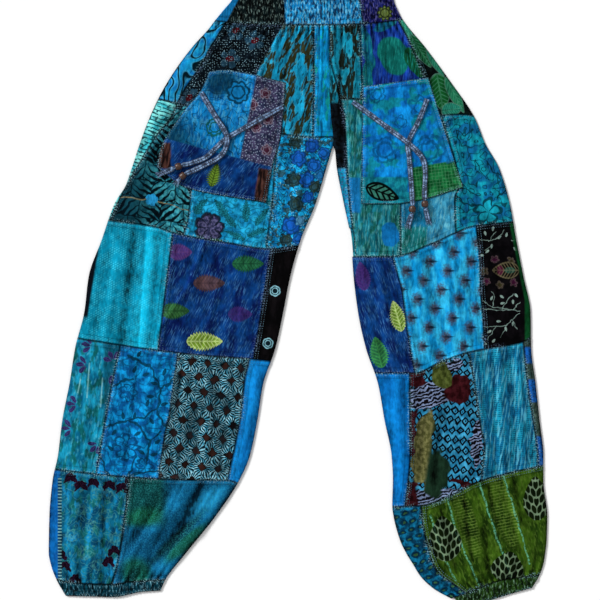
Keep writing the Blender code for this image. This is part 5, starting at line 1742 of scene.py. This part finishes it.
def kneeTwigs(w, p):
    c = w.wash(p, "050406", "0d0a0d", 14)
    q = w.warp(p, 9, 5)
    twigs = w.strokes(q, (
        ((282, 76), (305, 76), (320, 91)), ((295, 74), (307, 88)), ((283, -16), (301, -28), (330, -32)),
        ((283, -31), (343, -33)), ((343, -37), (322, -57), (287, -59)), ((307, -57), (293, -78)),
        ((301, -28), (305, -12), (300, -4)), ((316, -32), (325, -16), (334, -8)), ((332, -33), (344, -20)),
        ((322, -57), (314, -74)), ((332, -48), (340, -62)), ((330, 76), (342, 76)), ((290, 60), (300, 68))),
        0.7)
    small = ((302, 93), (323, 84), (293, 58), (284, 52), (300, -14), (317, -22), (333, -20), (311, -50),
             (296, -66), (303, -80), (322, -62), (333, -54), (289, -84), (316, -12), (300, 66), (338, -10),
             (312, 80), (290, 86), (336, 62))
    buds = [w.leaf(p, at, 7.5, 3.6, sum(at) * 1.3)["Inside"] for at in small]
    c = w.paint(c, w.most(twigs, *buds), "a4bcb0", 0.7)
    c = blooms(w, q, c, [(at, 6.4, code, "6c5c58") for at, code in (
        ((305, 46), "4c1638"), ((330, 44), "443c24"), ((288, 28), "443c24"), ((292, 12), "4c1638"),
        ((313, 6), "443c24"), ((334, 10), "4c1638"))], 5.0, 0.5, 0.4, 0.65)
    c = leaves(w, p, c, (((322, 29), 43, 26, 3.14, "14100c", "75684c", 1.0),), 0.0)
    c = w.paint(c, w.oval(p, (313, 29), 10, 15), "5c1838", 0.6)
    c = w.paint(c, w.oval(p, (328, 29), 16, 10), "3c7460", 0.4)
    x, y = w.parts(p)
    edge = w.most(w.between(w.timesPlus(y, 0.2, x), 346.5, 349.5), w.between(x, 350.0, 353.0))
    return w.paint(c, edge, "0c4c24", 0.9)


def calfNet(w, p):
    # blocks, a tongue, ovals, brush stripes and a net: a plain design of the same colours and sizes
    c = w.wash(p, "2880a8", "44a4cc", 14)
    cell = w.use("repeatGrid", Place=w.warp(p, 12, 5), Across=12.0, Up=15.0, Turn=-0.12, Stagger=0.5)
    x, y = w.parts(cell["Local"])
    diamond = w.plus(w.calc("DIVIDE", w.size(x), 6.0), w.calc("DIVIDE", w.size(y), 7.5))
    mesh = w.times(w.between(diamond, 0.42, 0.54), w.between(diamond, 1.12, 1.0))
    c = w.paint(c, w.most(mesh, w.between(diamond, 0.24, 0.14)), "06080f")
    q = w.warp(p, 20, 15)
    stripes = w.use("stripes", Place=p, Pitch=5.6, Share=0.42, Turn=1.9, Wander=12.0)["Mask"]
    lined = w.blend(stripes, "0e080c", "8c98bc")
    for mask in (w.oval(q, (202, -165), 70, 42, 0.2, 0.05), w.oval(q, (276, -240), 18, 76, -0.1, 0.06),
                 w.box(q, (165, -345), (262, -310), 2), w.oval(q, (238, -118), 40, 20, 0.3, 0.05)):
        c = w.paint(c, mask, lined)
    for mask in (w.box(q, (160, -150), (196, -112), 1.5), w.box(q, (168, -262), (184, -186), 1.5),
                 w.box(q, (160, -334), (184, -300), 1.5), w.oval(q, (248, -158), 44, 46, 0.1, 0.05),
                 w.oval(q, (256, -300), 40, 9, -0.3, 0.1)):
        c = w.paint(c, mask, w.wash(p, "2c080c", "44141a", 8))
    c = w.paint(c, w.oval(q, (224, -132), 30, 40, 0.2, 0.06), w.wash(p, "3c4418", "58602c", 7))
    tongue = w.most(w.oval(q, (194, -244), 30, 116, -0.16, 0.05), w.oval(q, (214, -286), 42, 74, -0.1, 0.08))
    x, y = w.parts(w.moved(p, (204, -250, 0), -0.16))
    return w.paint(c, tongue, w.blend(w.between(x, -4.0, 4.0), w.wash(p, "4c4a26", "706a40", 6), "1c3424"))


def calfGrid(w, p):
    c = w.wash(p, "0f6c98", "1c98b8", 15, 3.0, 1.5)
    cell = w.use("repeatGrid", Place=p, Across=5.4, Up=3.1, Turn=0.06, Stagger=0.0)
    x, y = w.parts(cell["Local"])
    dash = w.times(w.between(w.size(x), 2.4, 1.7), w.between(w.size(y), 1.1, 0.5))
    c = w.paint(c, w.times(dash, w.between(w.noise(p, 6.0), 0.32, 0.5)), "0a4c6c", 0.75)
    c = blotched(w, p, c, "083c5c", 4, 0.6, 0.04, 0.75, 1.45, 9.0)
    return blotched(w, p, c, "6cc8dc", 3, 0.58, 0.05, 0.5, 1.45, 10.0)


def calfSide(w, p):
    c = w.wash(p, "283c34", "44544a", 8)
    for low, high in (((340, -115), (380, -90)), ((340, -175), (390, -140)), ((340, -280), (400, -228))):
        c = w.paint(c, w.box(p, low, high, 2), "1560b4")
    return w.paint(c, w.use("specks", Place=p, Pitch=5.0, Radius=1.2, Loose=1.0)["Mask"], "0c141c", 0.6)


def shinSpots(w, p):
    c = w.wash(p, "083e5c", "10749c", 9)
    cell = w.use("repeatGrid", Place=w.warp(p, 12, 6), Across=15.0, Up=13.0, Turn=0.35, Stagger=0.5)
    away = w.shift("LENGTH", w.shift("MULTIPLY", cell["Local"], (0.8, 1.2, 0.0)))
    x, y = w.parts(cell["Local"])
    c = w.paint(c, w.between(away, 5.2, 4.2), "05283c", 0.9)
    return w.paint(c, w.between(w.plus(away, w.between(y, -2.0, 2.0)), 2.8, 1.8), "3f6a3c", 0.8)


def shinOlive(w, p):
    c = w.wash(p, "1f3809", "3f5e13", 16, 2.6, 1.9)
    c = blotched(w, p, c, "5c7828", 3, 0.58, 0.06, 0.5, 1.9, 3.0)
    pleats = w.strokes(w.warp(p, 14, 4), (
        ((231, -322), (244, -374), (280, -457)), ((280, -298), (304, -374), (332, -451)),
        ((318, -288), (344, -374), (359, -425)), ((205, -350), (227, -417), (244, -451))), 2.6)
    c = w.paint(c, w.times(pleats, w.between(w.noise(p, 3.0), 0.34, 0.56)), "62a888", 0.75)
    ladder = w.use("stripes", Place=p, Pitch=4.6, Share=0.26, Turn=1.8, Wander=3.0)["Mask"]
    zones = w.most(w.oval(p, (262, -362), 30, 110, 0.3, 0.1), w.oval(p, (319, -345), 34, 114, 0.3, 0.1))
    c = w.paint(c, w.times(ladder, zones), "7c9440", 0.6)
    blocks = (((227, -386), 50, 72, 0.12), ((369, -324), 40, 70, 0.05), ((325, -430), 50, 50, -0.2))
    for at, width, height, turn in blocks:  # seeds that fan out from the middle of each
        zone = w.leaf(p, at, float(height), float(width), 1.57 + turn)["Inside"]
        x, y = w.parts(w.moved(p, (*at, 0), turn))
        fan = w.join(x, w.timesPlus(w.size(x), -0.7, y))
        cell = w.use("repeatGrid", Place=fan, Across=8.6, Up=13.0, Turn=0.0, Stagger=0.5)
        x, y = w.parts(w.moved(cell["Local"], (0, 0, 0), 0.0, (4.3, 6.5, 1)))
        x, y = [w.calc("POWER", w.size(part), 2.4) for part in (x, y)]
        seed = w.between(w.plus(x, y), 0.92, 0.62)
        c = w.paint(c, w.between(zone, 0.2, 0.9), w.blend(seed, "7c9070", "040704"), 0.92)
    return c


# prints of the bands, the cuffs and the pockets
def banded(base, light, dark, fleck, level=0.55):
    def build(w, p):
        c = w.wash(p, base, light, 9, 3.0, 1.57)
        c = blotched(w, p, c, fleck, 2.3, level, 0.06, 0.7, 1.57, 3.2)
        return blotched(w, p, c, dark, 4.2, 0.56, 0.03, 0.85, 1.57, 2.4)
    return build


def bandDark(w, p):
    # the scroll cloth shows as a thin edge beside it
    x, y = w.parts(p)
    edge = w.between(w.timesPlus(y, -0.53, x), -328.0, -331.0)
    return w.paint(banded("070c0e", "101e20", "020304", "7c9088", 0.6)(w, p), edge, "1478b4")


def bandNavy(w, p):
    c = banded("10104a", "1c246c", "06061c", "6460a4")(w, p)
    return blooms(w, p, c, (((135, 427), 12, "6c7c34", "1c2410"),), 9.0, 0.4)


def leftPocketPrint(w, p):
    c = w.wash(p, "0c6cb4", "1898e0", 14, 1.6, 1.3)
    c = blotched(w, p, c, "5cc0e4", 3, 0.56, 0.06, 0.5, 1.4, 5.0)
    x, y = w.parts(p)
    # painted shade: darker towards the lower left and in an oval at the upper left, along the pocket's gaping
    # open side
    c = w.paint(c, w.between(w.timesPlus(y, 0.55, x), -2.0, -60.0), "052c38", 0.85)
    c = w.paint(c, w.oval(p, (-118, 318), 50, 40, 0.3, 0.5), "052434", 0.85)
    c = curled(w, p, c, "063048", 18, 5.0, 0.09, 0.7)
    c = blooms(w, w.warp(p, 6, 4), c, (((-92, 304), 18, "1484c4", "052838"),
                                       ((-128, 250), 14, None, "0f5c48")), 7.0, 0.2)
    seeds = w.use("specks", Place=p, Pitch=4.2, Radius=0.85, Loose=0.9)["Mask"]
    lilac = w.paint(w.wash(p, "282c48", "4c4464", 8), seeds, "a8b0c8", 0.75)
    lilac = blooms(w, w.warp(p, 5, 3), lilac, [(at, 9, "541c2c", "b4a8bc") for at in (
        (-50, 302), (-46, 262), (-64, 250), (-48, 215), (-70, 285))], 5.0, 0.3, 0.4, 0.8)
    c = w.paint(c, w.box(w.moved(p, (-52, 250, 0), -0.2), (-27, -62), (50, 95), 1.5), lilac)
    c = w.paint(c, w.between(w.timesPlus(x, 0.27, y), 179.0, 176.0), scratched(w, p, 0.9))
    brown = w.wash(p, "1c1010", "5c3830", 4, 5.0, 1.5)
    c = w.paint(c, w.box(p, (-216, 186), (-196, 226), 2), brown)
    c = w.paint(c, w.box(w.moved(p, (-54, 162, 0), -0.15), (-10, -30), (14, 24), 2), brown)
    return leaves(w, p, c, (((-129, 176), 38, 24, 1.3, "70902c", "101c08", 1.0),), 0.5)


def rightPocketPrint(w, p):
    c = w.wash(p, "0c6cbc", "149cf0", 18, 1.5, 1.2)
    c = blotched(w, p, c, "129084", 18, 0.55, 0.06, 0.7, 0.2, 1.3)
    q = w.warp(p, 10, 8)
    c = blooms(w, q, c, [(at, radius, None, "084a74") for at, radius in (
        ((191, 281), 19), ((135, 215), 21), ((159, 258), 10), ((122, 301), 14), ((205, 215), 24))],
        6.0, 0.3, 0.65)
    c = w.paint(c, w.box(p, (94, 126), (170, 173), 1.5), w.wash(p, "0f7088", "1894a4", 10))
    grid = w.wash(p, "0c5428", "1f8044", 12)
    for turn in (0.12, 1.69):
        lines = w.use("stripes", Place=p, Pitch=5.0, Share=0.16, Turn=turn, Wander=1.5)["Mask"]
        grid = w.paint(grid, lines, "64a878", 0.4)
    c = w.paint(c, w.box(w.moved(p, (217, 172, 0), 0.17), (-44, -35), (60, 22), 1.5), grid)
    c = w.paint(c, w.box(w.moved(p, (226, 215, 0), 0.28), (-2, -22), (22, 64), 1.5), "1676b4", 0.6)
    c = w.paint(c, w.leaf(p, (131, 149), 56.0, 27.0, -0.36)["Inside"], "040c0c")
    x, y = w.parts(w.moved(p, (130, 149, 0), -0.36, (23.0, 10.0, 1)))
    y = w.size(y)
    bars = w.calc("FRACT", w.minus(w.times(x, 2.2), y))
    bars = w.times(w.between(w.size(w.minus(bars, 0.5)), 0.34, 0.24), w.between(y, 0.06, 0.18))
    return w.paint(c, w.times(bars, w.leaf(p, (130, 149), 47.0, 20.0, -0.36)["Inside"]), "44907c", 0.9)


def backPrint(dark, light, line, size):
    def build(w, p):
        return curled(w, p, w.wash(p, dark, light, size), line, size * 1.2, 3.4, 0.1, 0.75)
    return build


prints = {
    "leftHipScroll": hipScroll,
    "leftHipDotted": hipDotted,
    "leftHipCamo": camo("1288b0", "1ca8d4", "34351f", 1.2),
    "leftHipCentre": hipCentre,
    "leftThighStriped": thighStriped,
    "leftThighLeafy": thighLeafy,
    "leftThighFern": thighFern,
    "leftThighBlooms": thighBlooms,
    "leftKneeTurquoise": kneeTurquoise,
    "leftKneeNavy": leftNavy,
    "leftKneeBlack": kneeBlack,
    "leftCalfTeal": calfTeal,
    "leftCalfVine": calfVine,
    "leftCalfHatched": calfHatched,
    "leftCalfBlue": plainBlue("0b70ba", "138edc", 1.35),
    "leftShinTulip": shinTulip,
    "leftShinGreen": shinGreen,
    "rightHipCamo": camo("0f7894", "1898b4", "1c241c", 1.5),
    "rightHipNavy": hipNavy,
    "rightHipLeaves": hipLeaves,
    "rightGussetBlack": gussetBlack,
    "rightGussetBlue": gussetBlue,
    "rightThighWash": thighWash,
    "rightThighGreen": thighGreen,
    "rightThighOutline": thighOutline,
    "rightKneeNavy": rightNavy,
    "rightKneeSpotted": kneeSpotted,
    "rightKneeBlack": kneeTwigs,
    "rightCalfPlain": plainBlue("0868b4", "0c84d4", 1.5),
    "rightCalfNet": calfNet,
    "rightCalfGrid": calfGrid,
    "rightCalfSide": calfSide,
    "rightShinSpots": shinSpots,
    "rightShinOlive": shinOlive,
    "waistbandDark": bandDark,
    "waistbandLight": banded("0f78b8", "209cd8", "101c44", "84d4f0", 0.56),
    "waistbandNavy": bandNavy,
    "leftCuffFront": banded("063444", "0c4858", "030e14", "6ca4b4", 0.6),
    "rightCuffFront": banded("1c3410", "2c4a18", "060e05", "7c9c80", 0.61),
    "leftPocket": leftPocketPrint,
    "rightPocket": rightPocketPrint,
    "leftBackHip": backPrint("1180a4", "1ba4c4", "084858", 28),
    "leftBackKnee": lambda w, p: scratched(w, p, 1.4),
    "leftBackCalf": backPrint("10708c", "1a98a8", "0c3c50", 18),
    "leftBackShin": plainBlue("0e6cb4", "1788d4", 1.5),
    "rightBackHip": backPrint("14708c", "1f98a4", "0a3c4c", 24),
    "rightBackKnee": backPrint("14602c", "1f7c48", "061c10", 20),
    "rightBackCalf": plainBlue("1078b0", "1c98cc", 1.5),
    "rightBackShin": backPrint("3c5a14", "5a7c20", "26380c", 16),
    "leftCuffBack": banded("0a4a5c", "125c6c", "05161c", "7fb0b8", 0.58),
    "rightCuffBack": banded("2c4414", "3c5a20", "0a1408", "88a080", 0.6),
    "waistbandBack": banded("12506c", "1a6c8c", "0a1c30", "7cb8d0", 0.58),
}
darkCloths = ("leftHipDotted", "leftKneeBlack", "rightKneeBlack", "rightGussetBlack", "leftKneeNavy",
              "rightKneeNavy")
for patch, made in sheetPieces:
    worn = "7f9cc0" if patch.piece in darkCloths else "9fd0dc"
    wear = 0.3 if patch in backs else 0.5
    made.data.materials.append(clothMaterial(patch.piece, prints[patch.piece], worn, wear))
print("cloths dyed")


# topstitching: rows of sewn thread along the felled seams and round the pockets
stitch = {"pitch": 3.6, "length": 2.8, "width": 0.7, "height": 0.4, "pocketRows": (1.7, 5.2)}
stitchFaces = ((0, 2, 4), (2, 1, 4), (1, 3, 4), (3, 0, 4), (2, 0, 5), (1, 2, 5), (3, 1, 5), (0, 3, 5))


def stitchPath(lines, inward):
    # points a way in from the edge, one on each line that runs inwards
    path = []
    for line in lines:
        reach = np.concatenate([[0], np.cumsum(np.linalg.norm(np.diff(line, axis=0), axis=1))])
        if reach[-1] > 2 * inward:
            path.append([np.interp(inward, reach, line[:, axis]) for axis in range(3)])
    return np.array(path)


def stitchesAlong(path, table, covered):
    # one spindle for each stitch, its ends sunk in the cloth; none where a pocket covers the row
    reach = np.concatenate([[0], np.cumsum(np.linalg.norm(np.diff(path, axis=0), axis=1))])
    starts = np.arange(1.2, reach[-1] / mm - stitch["length"], stitch["pitch"]) * mm
    start, end = [np.stack([np.interp(at, reach, path[:, axis]) for axis in range(3)], axis=-1)
                  for at in (starts, starts + stitch["length"] * mm)]
    if covered:
        shown = ~onPocket(*((start + end) / 2)[:, :2].T)
        start, end = start[shown], end[shown]
    sideways = np.cross(end - start, (0, 0, 1))
    sideways *= stitch["width"] * mm / 2 / np.linalg.norm(sideways, axis=1)[:, None]
    middle = (start + end) / 2 + (0, 0, 0.1 * mm)
    up = np.array((0, 0, stitch["height"] * mm))
    corners = [start, end, middle + sideways, middle - sideways, middle + up, middle - up / 2]
    table.append(np.stack(corners, axis=1))


paleSewn = ("leftThighStriped", "leftKneeBlack", "rightGussetBlack", "rightGussetBlue", "rightThighGreen",
            "rightThighOutline", "rightKneeBlack", "rightShinOlive", "leftPocket", "rightPocket")


def stitchMesh(thread, colour):
    stitches = []
    for patch in patches + pockets:
        if (patch.piece in paleSewn) != (thread == "pale"):
            continue
        points = np.stack(grids[patch.piece], axis=-1)
        down, over = points, points.swapaxes(0, 1)
        edges = {"left": down, "top": over}
        if patch in pockets:
            edges |= {"right": down[:, ::-1], "bottom": over[:, ::-1]}
        for edge, lines in edges.items():
            if getattr(patch, edge) in foldedEdges + ("waistSeam", "gussetTop"):
                continue
            for inward in stitch["pocketRows"] if patch in pockets else cloth["stitchRows"]:
                path = stitchPath(lines, inward * mm)
                if len(path) > 3:
                    stitchesAlong(path, stitches, patch not in pockets)
    table = np.concatenate(stitches)
    faces = (np.array(stitchFaces)[None] + 6 * np.arange(len(table))[:, None, None]).reshape(-1, 3)
    mesh = meshFrom("topstitch" + thread, toFrame(table.reshape(-1, 3)), faces.tolist())
    made = addObject("topstitch" + thread.capitalize(), mesh, threadMaterial(thread, colour))
    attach(made, "root")
    return len(table)


def threadMaterial(name, colour):
    material, w, shader = startMaterial(name + "Thread")
    worn = w.between(w.noise(w.use("drawingPlace")["Place"], 13.0, 3.0), 0.36, 0.6)
    c = w.blend(worn, w.multiplied(colour, (0.25, 0.3, 0.34, 1)), colour)
    w.feed(shader.inputs["Base Color"], c)
    w.feed(shader.inputs["Roughness"], w.timesPlus(worn, 0.15, 0.7))
    return material


stitchCount = stitchMesh("pale", dye("6c98ac"))
stitchCount += stitchMesh("dark", dye("2f687c"))
print(f"{stitchCount} stitches sewn")


def tieMaterial():
    # a folded strip: pale ridges, a dark printed middle with dots, darker rolled edges
    material, w, shader = startMaterial("tieCloth")
    along, across = w.attribute("tieAlong"), w.attribute("tieAcross")
    place = w.join(along, across)
    c = w.wash(place, "2c4c70", "80a0c8", 8, 1.0, 0.0)
    bars = w.use("stripes", Place=place, Pitch=8.0, Share=0.22, Turn=0.0, Wander=14.0)["Mask"]
    c = w.paint(c, bars, "101a38", 0.9)
    middle = w.between(w.size(across), 0.9, 0.3)
    c = w.paint(c, w.most(middle, w.between(w.size(across), 2.2, 3.0)), "0c1228", 0.9)
    dots = w.use("repeatGrid", Place=place, Across=3.4, Up=3.0, Turn=0.0, Stagger=0.5)
    away = w.shift("LENGTH", dots["Local"])
    some = w.between(w.noise(w.join(w.times(along, 0.05), 0.0), 1.0), 0.46, 0.54)
    c = w.paint(c, w.times(w.between(away, 1.15, 0.8), some), "0c1024", 0.9)
    w.feed(shader.inputs["Base Color"], c)
    w.feed(shader.inputs["Roughness"], w.timesPlus(w.noise(place, 2.0), 0.2, 0.72))
    shader.inputs["Sheen Weight"].default_value = 0.2
    addBump(w, shader, w.noise(place, 0.9), 0.4, 0.0003)
    return material


def beadMaterial():
    # turned dark wood, lightly polished, with its grain along the bore
    material, w, shader = startMaterial("beadWood")
    place = w.scaled(w.add("TexCoord").outputs["Object"], 1000.0)
    grain = w.add("TexNoise")
    w.feed(grain.inputs["Vector"], w.shift("MULTIPLY", place, (0.9, 0.25, 0.9)))
    grain.inputs["Scale"].default_value = 1.6
    grain.inputs["Detail"].default_value = 4.0
    c = w.blend(w.between(grain.outputs[0], 0.38, 0.64), "20120c", "563524")
    w.feed(shader.inputs["Base Color"], c)
    w.feed(shader.inputs["Roughness"], w.timesPlus(grain.outputs[0], 0.25, 0.24))
    addBump(w, shader, grain.outputs[0], 0.25, 0.0002)
    return material


tieCloth, beadWood = tieMaterial(), beadMaterial()
for strip, bead, tail in tiePieces:
    strip.data.materials.append(tieCloth)
    tail.data.materials.append(tieCloth)
    bead.data.materials.append(beadWood)
print("ties and beads finished")


# the surface under it and the light
studio = {"floorSize": 6.0, "floorColour": 0.94, "keyStrength": 2.9, "keySpread": 14, "keyHeight": 36,
          "keyFrom": 142, "fill": 0.55}  # angles in degrees
floorMesh = bpy.data.meshes.new("floor")
bound = studio["floorSize"] / 2
floorMesh.from_pydata([(-bound, -bound, -0.0003), (bound, -bound, -0.0003), (bound, bound, -0.0003),
                       (-bound, bound, -0.0003)], [], [(0, 1, 2, 3)])
floorMaterial = bpy.data.materials.new("paleFloor")
floorMaterial.use_nodes = True
floorShader = floorMaterial.node_tree.nodes["Principled BSDF"]
floorShader.inputs["Base Color"].default_value = (*[studio["floorColour"]] * 3, 1)
floorShader.inputs["Roughness"].default_value = 0.9
addObject("floor", floorMesh, floorMaterial)

world = bpy.data.worlds.new("studio")
bpy.context.scene.world = world
world.use_nodes = True
world.node_tree.nodes["Background"].inputs["Color"].default_value = (1, 1, 1, 1)
world.node_tree.nodes["Background"].inputs["Strength"].default_value = studio["fill"]
keyLight = bpy.data.lights.new("key", "SUN")
keyLight.energy = studio["keyStrength"]
keyLight.angle = math.radians(studio["keySpread"])
key = bpy.data.objects.new("key", keyLight)
keyHeight, keyFrom = math.radians(studio["keyHeight"]), math.radians(studio["keyFrom"])
key.location = (2 * math.cos(keyHeight) * math.cos(keyFrom), 2 * math.cos(keyHeight) * math.sin(keyFrom),
                2 * math.sin(keyHeight))
key.rotation_euler = (-key.location).to_track_quat("-Z", "Y").to_euler()
bpy.context.scene.collection.objects.link(key)
bpy.context.scene.view_settings.view_transform = "Standard"

print("scene ready")
